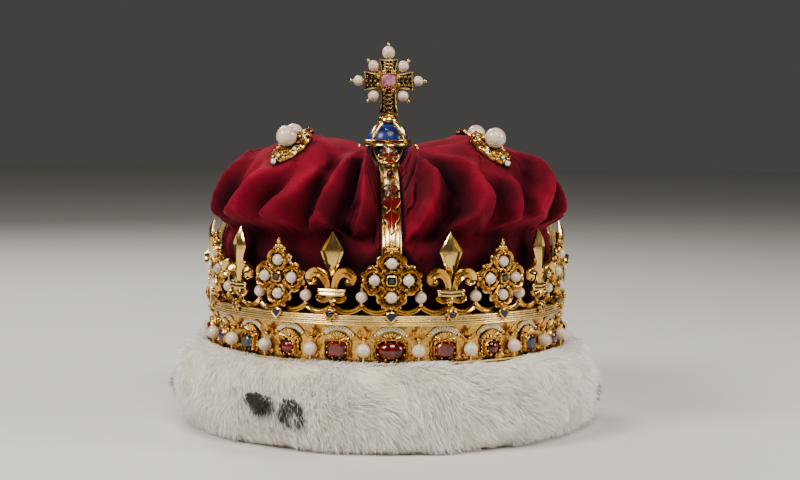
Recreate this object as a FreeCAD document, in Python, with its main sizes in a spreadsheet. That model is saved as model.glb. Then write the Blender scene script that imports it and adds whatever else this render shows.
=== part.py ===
import FreeCAD, Part
import math
import os
import Sketcher

V = FreeCAD.Vector
doc = FreeCAD.newDocument("crown")
os.makedirs("parts", exist_ok=True)

# Driving sizes in millimetres and degrees. Radii are measured from the crown's upright axis.
SIZES = {
    # ermine roll and the cap inside it
    "ermine_outer_r": 119, "ermine_inner_r": 95, "ermine_height": 45,
    "ermine_top_round": 16, "ermine_foot_round": 9,
    "lining_inner_r": 89.5, "lining_wall": 1.3, "band_wall": 5.3, "lining_foot_z": 3,
    "lining_dome_rise": 28.5, "dome_base_z": 100,
    "velvet_skirt_r": 93.4, "soft_gap": 0.4,
    "lobe_azimuth": 40, "lobe_centre_r": 52, "lobe_centre_z": 121,
    "lobe_radial": 50, "lobe_across": 46, "lobe_rise": 42,
    # circlet
    "rim_gap": 0.3, "rim_inner_r": 95.4, "rim_outer_r": 102, "rim_height": 0.8,
    "band_outer_r": 97, "band_top_z": 64.7,
    "moulding_inner_r": 94.2, "moulding_outer_r": 101, "moulding_height": 5.5, "reed_depth": 0.9,
    "reed_count": 4, "stone_count": 22, "stone_z": 52,
    "collet_wall": 1.1, "collet_rise": 3.4, "stone_rise": 5.4, "stone_seat": 0.8, "stone_fit": 0.05, "stone_bevel": 1.4,
    "front_stone_w": 13, "front_stone_h": 9.4, "oblong_stone_w": 9, "oblong_stone_h": 8,
    "square_stone_w": 7.4, "round_stone_r": 3.9,
    "pearl_r": 3.7, "pearl_ring_r": 100.8, "pin_r": 0.6, "pin_top_z": 57.2,
    "arc_centre_z": 54, "arc_outer_r": 10.4, "arc_wall": 1.8, "arc_foot_z": 60, "arc_rise": 1.5,
    "spray_w": 7.4, "spray_rise": 4.6,
    # gallery and cresting
    "gallery_count": 40, "gallery_inner_r": 96.4, "gallery_outer_r": 98.4, "gallery_height": 5,
    "gallery_web": 2.4, "scallop_r": 10.7,
    "crest_count": 10, "crest_depth": 2.4,
    "fleur_w": 26.3, "fleur_height": 38.3, "tie_w": 13.7, "tie_height": 2.9, "tie_rise": 1.1,
    "blade_w": 8.0, "blade_rise": 0.9,
    "cross_centre_z": 88.5, "petal_reach": 8.8, "petal_r": 6.6, "petal_hole_r": 3.4,
    "flower_pearl_r": 3.0, "flower_pin_r": 0.45, "flower_gap": 0.05,
    "loop_reach": 5.9, "loop_r": 2.3, "loop_hole_r": 1.1, "finial_r": 2.0,
    "boss_w": 5.4, "boss_rise": 1.3, "boss_stone_w": 3.5, "boss_bevel": 0.5,
    "crest_pearl_r": 3.15, "crest_pearl_ring_r": 97.4, "crest_pearl_z": 79.5, "crest_pin_top_z": 84,
    "stud_r": 3.4, "stud_z": 70.8, "stud_rise": 1.5, "stud_stone_r": 2.1,
    "lozenge_w": 5.6, "lozenge_height": 6, "lozenge_z": 69.8, "lozenge_wall": 0.7,
    # arches
    "arch_w": 10.2, "arch_inner_r": 94.3, "arch_wall": 2.0, "arch_inner_rise": 42, "arch_spring_z": 100.5,
    "groove_w": 1.5, "groove_depth": 0.6, "groove_reach": 2.3, "hub_r": 8,
    "leaf_w": 9.4, "leaf_wall": 1.3, "leaf_outer_r": 90, "leaf_inner_r": 44,
    "low_leaf_z": 101, "low_leaf_height": 12, "palm_w": 9.6, "palm_height": 10.5, "palm_r": 15.6,
    # monde
    "globe_r": 12.2, "hub_top_z": 144.9, "equator_w": 2.6, "equator_r": 13.7, "meridian_w": 2.2,
    "meridian_rise": 0.8, "cap_r": 4.9, "cap_height": 2.3, "collar_r": 2.9, "cap_top_z": 173.2,
    # cross
    "foot_gap": 0.1, "foot_pin_r": 1.6, "turn_clearance": 0.05, "cross_z": 192.3, "cross_depth": 4.4,
    "arm_top": 12.2, "arm_side": 13.9, "arm_root_w": 7.6, "arm_end_w": 11,
    "top_pearl_r": 3.7, "side_pearl_r": 3.0, "angle_pearl_r": 3.2, "angle_reach": 8.4,
    "cross_pin_r": 0.5, "cross_pin_end": 1.1, "pin_seat": 0.8,
    "cross_collet_r": 5.2, "cross_collet_rise": 1.8, "cross_gem_r": 4.0, "cross_gem_rise": 3.4,
    # brooches
    "brooch_r": 82, "brooch_length": 28, "brooch_w": 17, "brooch_wall": 1.5, "brooch_gap": 0.3,
    "brooch_pearl_r": 5.65, "peg_r": 1.2, "peg_cup_r": 3.2, "peg_height": 1.6,
}

sheet = doc.addObject("Spreadsheet::Sheet", "dims")
for row, (alias, size) in enumerate(SIZES.items(), start=1):
    sheet.set(f"A{row}", alias)
    sheet.set(f"B{row}", str(size))
    sheet.setAlias(f"B{row}", alias)
doc.recompute()

# Heights and radii that several sub-parts share, worked out once in the sheet.
DERIVED = {
    "rim_z": "=ermine_height + rim_gap",
    "band_z": "=rim_z + rim_height",
    "moulding_top_z": "=band_top_z + moulding_height",
    "gallery_top_z": "=moulding_top_z + gallery_height",
    "arch_outer_r": "=arch_inner_r + arch_wall",
    "arch_outer_rise": "=arch_inner_rise + arch_wall",
    "globe_z": "=hub_top_z + globe_r",
    "lining_outer_r": "=lining_inner_r + lining_wall",
    "lining_outer_rise": "=lining_dome_rise + lining_wall",
    "stone_step": "=360 / stone_count",
    "crest_step": "=360 / crest_count",
    "cross_foot_z": "=cap_top_z + foot_gap",
}
for row, (alias, formula) in enumerate(DERIVED.items(), start=len(SIZES) + 1):
    sheet.set(f"A{row}", alias)
    sheet.set(f"B{row}", formula)
    sheet.setAlias(f"B{row}", alias)
doc.recompute()

NODES = []


def cell(alias):
    return float(sheet.get(alias))


def value(formula):
    return float(sheet.evalExpression(formula))


def bind(thing, **formulas):
    for name, formula in formulas.items():
        thing.setExpression(name.replace("__", "."), formula)
    return thing


def node(thing, label):
    thing.Label = label
    NODES.append(thing)
    return thing


# Primitives and booleans

def ball(name, radius, z="0"):
    return bind(doc.addObject("Part::Sphere", name), Radius=radius, Placement__Base__z=z)


def post(name, radius, height, z="0"):
    return bind(doc.addObject("Part::Cylinder", name), Radius=radius, Height=height,
                Placement__Base__z=z)


def block(name, length, width, height, x, y, z):
    return bind(doc.addObject("Part::Box", name), Length=length, Width=width, Height=height,
                Placement__Base__x=x, Placement__Base__y=y, Placement__Base__z=z)


def dome(name, radius, rise, z):
    return bind(doc.addObject("Part::Ellipsoid", name), Radius1=rise, Radius2=radius, Radius3=radius,
                Placement__Base__z=z)


def fused(name, things):
    joined = doc.addObject("Part::MultiFuse", name)
    joined.Shapes = things
    return joined


def shared(name, things):
    overlap = doc.addObject("Part::MultiCommon", name)
    overlap.Shapes = things
    return overlap


def without(name, base, tool):
    rest = doc.addObject("Part::Cut", name)
    rest.Base = base
    rest.Tool = tool
    return rest


def tube(name, outer_r, inner_r, height, z):
    return without(name, post(name + "_outer", outer_r, height, z), post(name + "_hole", inner_r, height, z))


def group(name, things):
    together = doc.addObject("Part::Compound", name)
    together.Links = things
    return together


def turned(name, thing, angle):
    """A copy of a sub-part turned about the upright axis."""
    copy = group(name, [thing])
    return bind(copy, Placement__Rotation__Angle=angle)


def ring_of(name, thing, count, start="0"):
    """Evenly spaced copies around the crown."""
    copies = []
    for index in range(round(value(count))):
        copies.append(turned(f"{name}_{index + 1:02d}", thing, f"{start} + {index} * 360 / ({count})"))
    return group(name, copies)


def moved(name, thing, x="0", y="0", z="0"):
    return bind(group(name, [thing]), Placement__Base__x=x, Placement__Base__y=y, Placement__Base__z=z)


# Sketched bodies

def plane(body, role):
    for feature in body.Origin.OriginFeatures:
        if feature.Role == role:
            return feature


def outline(body, name, role, points, offset="0"):
    """A closed outline whose corners are held by formulas from the sheet."""
    sketch = body.newObject("Sketcher::SketchObject", name)
    sketch.AttachmentSupport = (plane(body, role), [""])
    sketch.MapMode = "FlatFace"
    bind(sketch, AttachmentOffset__Base__z=offset)
    corners = [V(value(x), value(y), 0) for x, y in points]
    for index, corner in enumerate(corners):
        sketch.addGeometry(Part.LineSegment(corner, corners[(index + 1) % len(corners)]))
    for index in range(len(corners)):
        sketch.addConstraint(Sketcher.Constraint("Coincident", index, 2, (index + 1) % len(corners), 1))
    for index, (x, y) in enumerate(points):
        for kind, formula, size, axis in (("DistanceX", x, corners[index].x, -2),
                                          ("DistanceY", y, corners[index].y, -1)):
            if abs(size) < 1e-9:
                sketch.addConstraint(Sketcher.Constraint("PointOnObject", index, 1, axis))
                continue
            held = sketch.addConstraint(Sketcher.Constraint(kind, -1, 1, index, 1, size))
            sketch.setExpression(f"Constraints[{held}]", formula)
    return sketch


def turned_body(name, points):
    """A body spun about the upright axis from a half section of (radius, height) corners."""
    body = doc.addObject("PartDesign::Body", name)
    sketch = outline(body, name + "_section", "XZ_Plane", points)
    spin = body.newObject("PartDesign::Revolution", name + "_spin")
    spin.Profile = sketch
    spin.ReferenceAxis = (sketch, ["V_Axis"])
    spin.Angle = 360
    return body


def front_plate(name, points, start, depth):
    """A plate facing the front, from the given distance in front of the axis."""
    body = doc.addObject("PartDesign::Body", name)
    sketch = outline(body, name + "_outline", "XZ_Plane", points, start)
    pad = body.newObject("PartDesign::Pad", name + "_pad")
    pad.Profile = sketch
    bind(pad, Length=depth)
    return body


def front_post(name, radius, depth, x, start, z):
    """A round post whose axis points to the front."""
    rod = doc.addObject("Part::Cylinder", name)
    rod.Placement = FreeCAD.Placement(V(0, 0, 0), FreeCAD.Rotation(V(1, 0, 0), 90))
    return bind(rod, Radius=radius, Height=depth, Placement__Base__x=x, Placement__Base__y=f"-({start})",
                Placement__Base__z=z)


def mirrored(half):
    """A full outline from its right half, read from the foot up."""
    left = [(f"-({x})", z) for x, z in reversed(half) if abs(value(x)) > 1e-9]
    return half + left


# Cap: ermine, lining and velvet

def ermine():
    body = turned_body("ermine_roll", [
        ("dims.ermine_inner_r", "0"),
        ("dims.ermine_outer_r", "0"),
        ("dims.ermine_outer_r", "dims.ermine_height"),
        ("dims.ermine_inner_r", "dims.ermine_height"),
    ])
    doc.recompute()
    for name, height in (("ermine_top_round", cell("ermine_height")), ("ermine_foot_round", 0)):
        edges = []
        for index, edge in enumerate(body.Shape.Edges, start=1):
            box = edge.BoundBox
            outside = abs(box.XMax - cell("ermine_outer_r")) < 0.01
            if outside and abs(box.ZMin - height) < 0.01 and abs(box.ZMax - height) < 0.01:
                edges.append(f"Edge{index}")
        base = body.Tip
        rounding = body.newObject("PartDesign::Fillet", name)
        rounding.Base = (base, edges)
        bind(rounding, Radius="dims." + name)
        body.Tip = rounding
        doc.recompute()
    return node(body, "ermine_band")


def lining():
    outer = fused("lining_form", [
        post("lining_wall_outer", "dims.lining_outer_r", "dims.dome_base_z - dims.lining_foot_z",
             "dims.lining_foot_z"),
        dome("lining_dome_outer", "dims.lining_outer_r", "dims.lining_outer_rise", "dims.dome_base_z"),
        post("head_band", "dims.lining_inner_r + dims.band_wall",
             "dims.ermine_height - dims.lining_foot_z", "dims.lining_foot_z"),
    ])
    inner = fused("head_space", [
        post("head_space_wall", "dims.lining_inner_r", "dims.dome_base_z"),
        dome("head_space_dome", "dims.lining_inner_r", "dims.lining_dome_rise", "dims.dome_base_z"),
    ])
    return node(without("lining_shell", outer, inner), "silk_lining")


def arch_channel(name, angle):
    """The space an arch needs, open outwards, so that the velvet swells on each side of it."""
    slab = block(name + "_slab", "dims.arch_w + 4 * dims.soft_gap", "300", "140",
                 "-dims.arch_w / 2 - 2 * dims.soft_gap", "-150", "60")
    kept = fused(name + "_kept", [
        dome(name + "_kept_dome", "dims.arch_inner_r - dims.soft_gap",
             "dims.arch_inner_rise - dims.soft_gap", "dims.arch_spring_z"),
        post(name + "_kept_wall", "dims.arch_inner_r - dims.soft_gap", "dims.arch_spring_z - 10", "10"),
    ])
    return turned(name, without(name + "_cut", slab, kept), angle)


def velvet():
    lobes = []
    for index, side in enumerate(("dims.lobe_azimuth", "180 - dims.lobe_azimuth",
                                  "180 + dims.lobe_azimuth", "-dims.lobe_azimuth")):
        lobe = bind(doc.addObject("Part::Ellipsoid", f"lobe_{index + 1}"), Radius1="dims.lobe_rise",
                    Radius2="dims.lobe_across", Radius3="dims.lobe_radial",
                    Placement__Base__y="-dims.lobe_centre_r", Placement__Base__z="dims.lobe_centre_z")
        lobes.append(turned(f"lobe_turned_{index + 1}", lobe, side))
    skirt = post("velvet_skirt", "dims.velvet_skirt_r", "dims.arch_spring_z - dims.ermine_height",
                 "dims.ermine_height")
    crest = dome("velvet_crest", "dims.velvet_skirt_r", "dims.arch_inner_rise - 2 * dims.soft_gap",
                 "dims.arch_spring_z")
    whole = fused("velvet_form", lobes + [skirt, crest])
    hollow = fused("velvet_hollow", [
        post("velvet_hollow_wall", "dims.lining_outer_r", "dims.dome_base_z"),
        dome("velvet_hollow_dome", "dims.lining_outer_r", "dims.lining_outer_rise", "dims.dome_base_z"),
    ])
    cresting_room = tube("cresting_room", "200", "dims.velvet_skirt_r", "96", "20")
    hub_room = post("hub_room", "dims.hub_r + 2 * dims.soft_gap", "80",
                    "dims.arch_spring_z + dims.arch_inner_rise - 2 * dims.soft_gap")
    tools = fused("velvet_tools", [cresting_room, hub_room, arch_channel("channel_long", "0"),
                                   arch_channel("channel_wide", "90")])
    open_form = without("velvet_open", whole, hollow)
    return node(without("velvet_cap", open_form, tools), "velvet_bonnet")


def brooch_placement(azimuth):
    """The seat of a brooch: tangent to the swelling of its lobe."""
    reach = cell("brooch_r") - cell("lobe_centre_r")
    rise = cell("lobe_rise") * math.sqrt(1 - (reach / cell("lobe_radial")) ** 2)
    slope = math.degrees(math.atan2(reach / cell("lobe_radial") ** 2, rise / cell("lobe_rise") ** 2))
    normal = V(0, -math.sin(math.radians(slope)), math.cos(math.radians(slope)))
    seat = V(0, -cell("brooch_r"), cell("lobe_centre_z") + rise) + normal * cell("brooch_gap")
    tilt = FreeCAD.Placement(seat, FreeCAD.Rotation(V(1, 0, 0), slope))
    return FreeCAD.Placement(V(0, 0, 0), FreeCAD.Rotation(V(0, 0, 1), azimuth)).multiply(tilt)


def brooches():
    plate = bind(doc.addObject("Part::Ellipse", "brooch_oval"), MajorRadius="dims.brooch_length / 2",
                 MinorRadius="dims.brooch_w / 2")
    slab = doc.addObject("Part::Extrusion", "brooch_slab")
    slab.Base = plate
    slab.Dir = V(0, 0, 1)
    slab.DirMode = "Custom"
    slab.Solid = True
    bind(slab, LengthFwd="dims.brooch_wall")
    lengthwise = group("brooch_lengthwise", [slab])
    lengthwise.Placement = FreeCAD.Placement(V(0, 0, 0), FreeCAD.Rotation(V(0, 0, 1), 90))
    seat_z = "dims.brooch_wall + dims.peg_height"
    pearl_z = seat_z + " + dims.brooch_pearl_r - 0.6"
    piece = fused("brooch_whole", [
        lengthwise,
        post("brooch_cup", "dims.peg_cup_r", seat_z),
        post("brooch_peg", "dims.peg_r", seat_z + " + dims.brooch_pearl_r"),
    ])
    room = ball("brooch_pearl_room", "dims.brooch_pearl_r", pearl_z)
    peg = post("brooch_peg_only", "dims.peg_r", seat_z + " + dims.brooch_pearl_r")
    cupped = fused("brooch_cupped", [without("brooch_hollowed", piece, room), peg])
    pearl = without("brooch_pearl", ball("brooch_pearl_ball", "dims.brooch_pearl_r", pearl_z),
                    post("brooch_pearl_bore", "dims.peg_r", seat_z + " + dims.brooch_pearl_r"))
    angle = cell("lobe_azimuth")
    pearls = []
    for index, azimuth in enumerate((-angle, angle, 180 - angle, 180 + angle)):
        seat = brooch_placement(azimuth)
        copy = group(f"brooch_{index + 1}", [cupped])
        copy.Placement = seat
        node(copy, f"brooch_plate_{index + 1}")
        bead = group(f"brooch_bead_{index + 1}", [pearl])
        bead.Placement = seat
        pearls.append(bead)
    return node(group("brooch_bead_set", pearls), "brooch_pearls")


# Circlet

def circlet():
    node(tube("rim", "dims.rim_outer_r", "dims.rim_inner_r", "dims.rim_height", "dims.rim_z"),
         "bottom_rim")
    node(tube("band", "dims.band_outer_r", "dims.rim_inner_r", "dims.band_top_z - dims.band_z",
              "dims.band_z"), "circlet_band")
    section = [("dims.moulding_inner_r", "dims.band_top_z")]
    count = round(cell("reed_count"))
    for reed in range(count):
        for step, drop in ((0.0, 1.0), (0.25, 0.2), (0.5, 0.0), (0.75, 0.2)):
            share = (reed + step) / count
            section.append((f"dims.moulding_outer_r - dims.reed_depth * {drop}",
                            f"dims.band_top_z + dims.moulding_height * {share}"))
    section.append(("dims.moulding_outer_r - dims.reed_depth", "dims.moulding_top_z"))
    section.append(("dims.moulding_inner_r", "dims.moulding_top_z"))
    node(turned_body("moulding", section), "ribbed_moulding")


def box_outline(width, height, z):
    return [(f"-({width}) / 2", f"{z} - ({height}) / 2"), (f"({width}) / 2", f"{z} - ({height}) / 2"),
            (f"({width}) / 2", f"{z} + ({height}) / 2"), (f"-({width}) / 2", f"{z} + ({height}) / 2")]


def cut_corners(width, height, z, share):
    """An oblong outline with its corners taken off by a share of the shorter side."""
    cut = f"{share} * ({height})"
    half_w = f"({width}) / 2"
    half_h = f"({height}) / 2"
    return [(f"-{half_w} + {cut}", f"{z} - {half_h}"), (f"{half_w} - {cut}", f"{z} - {half_h}"),
            (half_w, f"{z} - {half_h} + {cut}"), (half_w, f"{z} + {half_h} - {cut}"),
            (f"{half_w} - {cut}", f"{z} + {half_h}"), (f"-{half_w} + {cut}", f"{z} + {half_h}"),
            (f"-{half_w}", f"{z} + {half_h} - {cut}"), (f"-{half_w}", f"{z} - {half_h} + {cut}")]


def bevelled(name, body, size):
    """Bevel the front edges of a plate."""
    doc.recompute()
    front = body.Shape.BoundBox.YMin
    edges = []
    for index, edge in enumerate(body.Shape.Edges, start=1):
        if abs(edge.BoundBox.YMax - front) < 0.01:
            edges.append(f"Edge{index}")
    base = body.Tip
    bevel = body.newObject("PartDesign::Chamfer", name)
    bevel.Base = (base, edges)
    bevel.Size = size
    body.Tip = bevel
    return body


def setting(name, width, height, share):
    """A stone and the collet that holds it, at the front of the circlet."""
    start = "dims.band_outer_r"
    fit = "2 * dims.stone_fit"
    wall = "2 * dims.collet_wall"
    stone = front_plate(name + "_stone", cut_corners(width, height, "dims.stone_z", share),
                        start + " + dims.stone_seat", "dims.stone_rise - dims.stone_seat")
    bevelled(name + "_table", stone, cell("stone_bevel"))
    hole = front_plate(name + "_hole", cut_corners(f"{width} + {fit}", f"{height} + {fit}",
                                                   "dims.stone_z", share), "80", "30")
    outer = front_plate(name + "_outer", cut_corners(f"{width} + {wall}", f"{height} + {wall}",
                                                     "dims.stone_z", share), "80", "30")
    wall_ring = tube(name + "_ring", "dims.band_outer_r + dims.collet_rise", start, "40", "30")
    solid = shared(name + "_block", [outer, wall_ring])
    return stone, without(name + "_collet", solid, hole)


def circlet_stones():
    front = setting("front", "dims.front_stone_w", "dims.front_stone_h", 0.3)
    oblong = setting("oblong", "dims.oblong_stone_w", "dims.oblong_stone_h", 0.2)
    square = setting("square", "dims.square_stone_w", "dims.square_stone_w", 0.2)
    rounded = setting("rounded", "2 * dims.round_stone_r", "2 * dims.round_stone_r", 0.293)
    order = [oblong, rounded, square, rounded]
    slots = ["garnets", "garnets", "rock_crystals", "amethysts"]
    stones = {"garnets": [turned("garnet_front", front[0], "0")], "rock_crystals": [], "amethysts": []}
    collets = [turned("collet_front", front[1], "0")]
    for index in range(1, round(cell("stone_count"))):
        nearest = min(index, round(cell("stone_count")) - index)
        stone, collet = order[(nearest - 1) % 4]
        angle = f"{index} * dims.stone_step"
        kind = slots[(nearest - 1) % 4]
        stones[kind].append(turned(f"stone_{index:02d}", stone, angle))
        collets.append(turned(f"collet_{index:02d}", collet, angle))
    for kind, placed in stones.items():
        node(group(kind + "_set", placed), kind)
    node(group("collet_set", collets), "gem_collets")


def drilled(name, radius, bore):
    rod = bind(doc.addObject("Part::Cylinder", name + "_bore"), Radius=bore, Height=f"4 * {radius}",
               Placement__Base__z=f"-2 * {radius}")
    return without(name, ball(name + "_ball", radius), rod)


def circlet_pearls():
    pearl = moved("circlet_pearl", drilled("drilled_pearl", "dims.pearl_r", "dims.pin_r"),
                  y="-dims.pearl_ring_r", z="dims.stone_z")
    node(ring_of("circlet_pearl_ring", pearl, "dims.stone_count", "dims.stone_step / 2"), "circlet_pearls")
    pin = moved("circlet_pin", post("circlet_pin_rod", "dims.pin_r", "dims.pin_top_z - dims.band_z",
                                    "dims.band_z"), y="-dims.pearl_ring_r")
    return ring_of("circlet_pin_ring", pin, "dims.stone_count", "dims.stone_step / 2")


def canopies():
    hoop = without("canopy_hoop",
                   front_post("canopy_disc", "dims.arc_outer_r", "30", "0", "80", "dims.arc_centre_z"),
                   front_post("canopy_eye", "dims.arc_outer_r - dims.arc_wall", "30", "0", "80",
                              "dims.arc_centre_z"))
    wall = tube("canopy_wall", "dims.band_outer_r + dims.arc_rise", "dims.band_outer_r",
                "dims.band_top_z - dims.arc_foot_z", "dims.arc_foot_z")
    arc = shared("canopy", [hoop, wall])
    node(ring_of("canopy_ring", arc, "dims.stone_count"), "enamel_arcs")
    spray = front_plate("spray_prism", mirrored([
        ("0", "dims.pin_top_z"),
        ("dims.spray_w * 0.16", "dims.pin_top_z"),
        ("dims.spray_w * 0.34", "dims.pin_top_z + 1.2"),
        ("dims.spray_w * 0.24", "dims.pin_top_z + 2.2"),
        ("dims.spray_w * 0.5", "dims.pin_top_z + 4"),
        ("dims.spray_w * 0.3", "dims.band_top_z - 1.6"),
        ("dims.spray_w * 0.12", "dims.band_top_z - 1"),
        ("0", "dims.band_top_z"),
    ]), "80", "30")
    wall = tube("spray_wall", "dims.band_outer_r + dims.spray_rise", "dims.band_outer_r", "40", "30")
    leaf = shared("spray", [spray, wall])
    node(ring_of("spray_ring", leaf, "dims.stone_count", "dims.stone_step / 2"), "leaf_sprays")


# Gallery and cresting

def gallery():
    ring = tube("gallery_ring", "dims.gallery_outer_r", "dims.gallery_inner_r", "dims.gallery_height",
                "dims.moulding_top_z")
    bite = front_post("scallop", "dims.scallop_r", "30", "0", "80",
                      "dims.moulding_top_z + dims.gallery_web + dims.scallop_r")
    bites = ring_of("scallop_ring", bite, "dims.gallery_count", "180 / dims.gallery_count")
    node(without("gallery", ring, bites), "scallop_gallery")


def fleur():
    """One lily of the cresting: foot, tie, two curling petals and a ridged blade."""
    foot = "dims.gallery_top_z"
    shape = ((0.0, 0.0), (0.22, 0.0), (0.6, 0.04), (0.56, 0.09), (0.28, 0.13), (0.26, 0.22), (0.5, 0.25),
             (0.8, 0.27), (0.98, 0.33), (1.0, 0.42), (0.9, 0.49), (0.74, 0.51), (0.63, 0.46),
             (0.7, 0.4), (0.52, 0.36), (0.3, 0.43), (0.3, 0.56), (0.47, 0.74), (0.24, 0.88), (0.0, 1.0))
    half = [(f"dims.fleur_w / 2 * {x}", f"{foot} + dims.fleur_height * {z}") for x, z in shape]
    start = "dims.gallery_outer_r"
    plate = front_plate("fleur_plate", mirrored(half), start, "dims.crest_depth")
    tie_z = f"{foot} + dims.fleur_height * 0.17"
    tie = front_plate("fleur_tie", box_outline("dims.tie_w", "dims.tie_height", tie_z), start,
                      "dims.crest_depth + dims.tie_rise")
    blade = front_plate("fleur_blade", [
        ("0", f"{foot} + dims.fleur_height * 0.3"),
        ("dims.blade_w / 2", f"{foot} + dims.fleur_height * 0.73"),
        ("0", f"{foot} + dims.fleur_height * 0.96"),
        ("-dims.blade_w / 2", f"{foot} + dims.fleur_height * 0.73"),
    ], start, "dims.crest_depth + dims.blade_rise")
    return fused("fleur", [plate, tie, blade])


def flower_cross():
    """One flower cross: four scrolled petals with openings for pearls, loops, finial and boss."""
    start = "dims.gallery_outer_r"
    depth = "dims.crest_depth"
    middle = "dims.cross_centre_z"
    solids = []
    holes = []
    for index, (x, z) in enumerate(((1, 0), (0, 1), (-1, 0), (0, -1))):
        at_x = f"{x} * dims.petal_reach"
        at_z = f"{middle} + {z} * dims.petal_reach"
        solids.append(front_post(f"petal_{index}", "dims.petal_r", depth, at_x, start, at_z))
        holes.append(front_post(f"petal_hole_{index}", "dims.petal_hole_r", "30", at_x, "90", at_z))
    for index, (x, z) in enumerate(((1, 1), (-1, 1), (-1, -1), (1, -1))):
        at_x = f"{x} * dims.loop_reach"
        at_z = f"{middle} + {z} * dims.loop_reach"
        solids.append(front_post(f"loop_{index}", "dims.loop_r", depth, at_x, start, at_z))
        holes.append(front_post(f"loop_hole_{index}", "dims.loop_hole_r", "30", at_x, "90", at_z))
    for index, (x, z) in enumerate(((-0.85, 0), (0.85, 0), (0, 1.3))):
        at_z = f"{middle} + dims.petal_reach + dims.petal_r + dims.finial_r * {z + 0.5}"
        solids.append(front_post(f"finial_{index}", "dims.finial_r", depth, f"{x} * dims.finial_r", start,
                                 at_z))
    solids.append(front_post("cross_heart", "dims.petal_hole_r + 1.2", depth, "0", start, middle))
    pierced = without("cross_pierced", fused("cross_form", solids), group("cross_holes", holes))
    boss = front_plate("boss_block", box_outline("dims.boss_w", "dims.boss_w", middle), start,
                       depth + " + dims.boss_rise")
    seat = front_plate("boss_seat", box_outline("dims.boss_stone_w + 0.1", "dims.boss_stone_w + 0.1", middle),
                       start + " + " + depth, "dims.boss_rise")
    return fused("cross_piece", [pierced, without("boss", boss, seat)])


def cresting():
    lily = fleur()
    flower = flower_cross()
    for index in range(round(cell("crest_count"))):
        node(turned(f"lily_{index + 1:02d}", lily, f"({index} + 0.5) * dims.crest_step"),
             f"fleur_de_lis_{index + 1:02d}")
        node(turned(f"flower_{index + 1:02d}", flower, f"{index} * dims.crest_step"),
             f"flower_cross_{index + 1:02d}")


def flower_pearls():
    """Four drilled pearls in each flower cross, and the pins they turn on."""
    middle_y = "-dims.gallery_outer_r - dims.crest_depth / 2"
    length = "2 * (dims.petal_hole_r - dims.flower_gap)"
    upright = post("flower_pin_up", "dims.flower_pin_r", length,
                   "-(dims.petal_hole_r - dims.flower_gap)")
    level = group("flower_pin_level", [upright])
    level.Placement = FreeCAD.Placement(V(0, 0, 0), FreeCAD.Rotation(V(0, 1, 0), 90))
    pearl = drilled("flower_pearl", "dims.flower_pearl_r", "dims.flower_pin_r")
    level_pearl = group("flower_pearl_level", [pearl])
    level_pearl.Placement = FreeCAD.Placement(V(0, 0, 0), FreeCAD.Rotation(V(0, 1, 0), 90))
    beads = []
    pins = []
    for index, (x, z) in enumerate(((1, 0), (0, 1), (-1, 0), (0, -1))):
        at_x = f"{x} * dims.petal_reach"
        at_z = f"dims.cross_centre_z + {z} * dims.petal_reach"
        beads.append(moved(f"flower_bead_{index}", level_pearl if z else pearl, at_x, middle_y, at_z))
        pins.append(moved(f"flower_pin_{index}", level if z else upright, at_x, middle_y, at_z))
    node(ring_of("flower_bead_ring", group("flower_beads", beads), "dims.crest_count"), "flower_pearls")
    return ring_of("flower_pin_ring", group("flower_pins", pins), "dims.crest_count")


def cresting_pearls():
    pearl = moved("crest_pearl", drilled("crest_pearl_bead", "dims.crest_pearl_r", "dims.pin_r"),
                  y="-dims.crest_pearl_ring_r", z="dims.crest_pearl_z")
    count = "2 * dims.crest_count"
    node(ring_of("crest_pearl_ring", pearl, count, "90 / dims.crest_count"), "cresting_pearls")
    pin = moved("crest_pin", post("crest_pin_rod", "dims.pin_r",
                                  "dims.crest_pin_top_z - dims.gallery_top_z",
                                  "dims.gallery_top_z"), y="-dims.crest_pearl_ring_r")
    return ring_of("crest_pin_ring", pin, count, "90 / dims.crest_count")


def lozenge(width, height):
    return [("0", f"dims.lozenge_z - ({height}) / 2"), (f"({width}) / 2", "dims.lozenge_z"),
            ("0", f"dims.lozenge_z + ({height}) / 2"), (f"-({width}) / 2", "dims.lozenge_z")]


def studs():
    start = "dims.moulding_outer_r"
    rise = "dims.stud_rise"
    stud = without("stud", front_post("stud_disc", "dims.stud_r", rise, "0", start, "dims.stud_z"),
                   front_post("stud_hole", "dims.stud_stone_r", rise, "0", start + " + 0.5", "dims.stud_z"))
    dot = front_post("stud_stone", "dims.stud_stone_r", rise, "0", start + " + 0.5", "dims.stud_z")
    wall = "2 * dims.lozenge_wall"
    frame_plate = front_plate("lozenge_plate", lozenge("dims.lozenge_w", "dims.lozenge_height"), start, rise)
    enamel = front_plate("lozenge_enamel", lozenge(f"dims.lozenge_w - {wall}",
                                                   f"dims.lozenge_height - {wall}"),
                         start + " + 0.5", rise + " - 0.3")
    room = front_plate("lozenge_room", lozenge(f"dims.lozenge_w - {wall}", f"dims.lozenge_height - {wall}"),
                       start + " + 0.5", rise)
    lozenge_frame = without("lozenge_frame", frame_plate, room)
    count = "dims.crest_count"
    half = "180 / dims.crest_count"
    node(group("stud_set", [ring_of("stud_ring", stud, count, half),
                            ring_of("lozenge_ring", lozenge_frame, count)]), "base_studs")
    node(ring_of("enamel_ring", enamel, count), "lozenge_enamels")
    square = front_plate("boss_stone", box_outline("dims.boss_stone_w", "dims.boss_stone_w",
                                                   "dims.cross_centre_z"),
                         "dims.gallery_outer_r + dims.crest_depth", "dims.boss_rise + 0.7")
    bevelled("boss_stone_table", square, cell("boss_bevel"))
    node(group("crest_stone_set", [ring_of("dot_ring", dot, count, half),
                                   ring_of("boss_stone_ring", square, count)]), "cresting_gems")


# Arches

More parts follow.
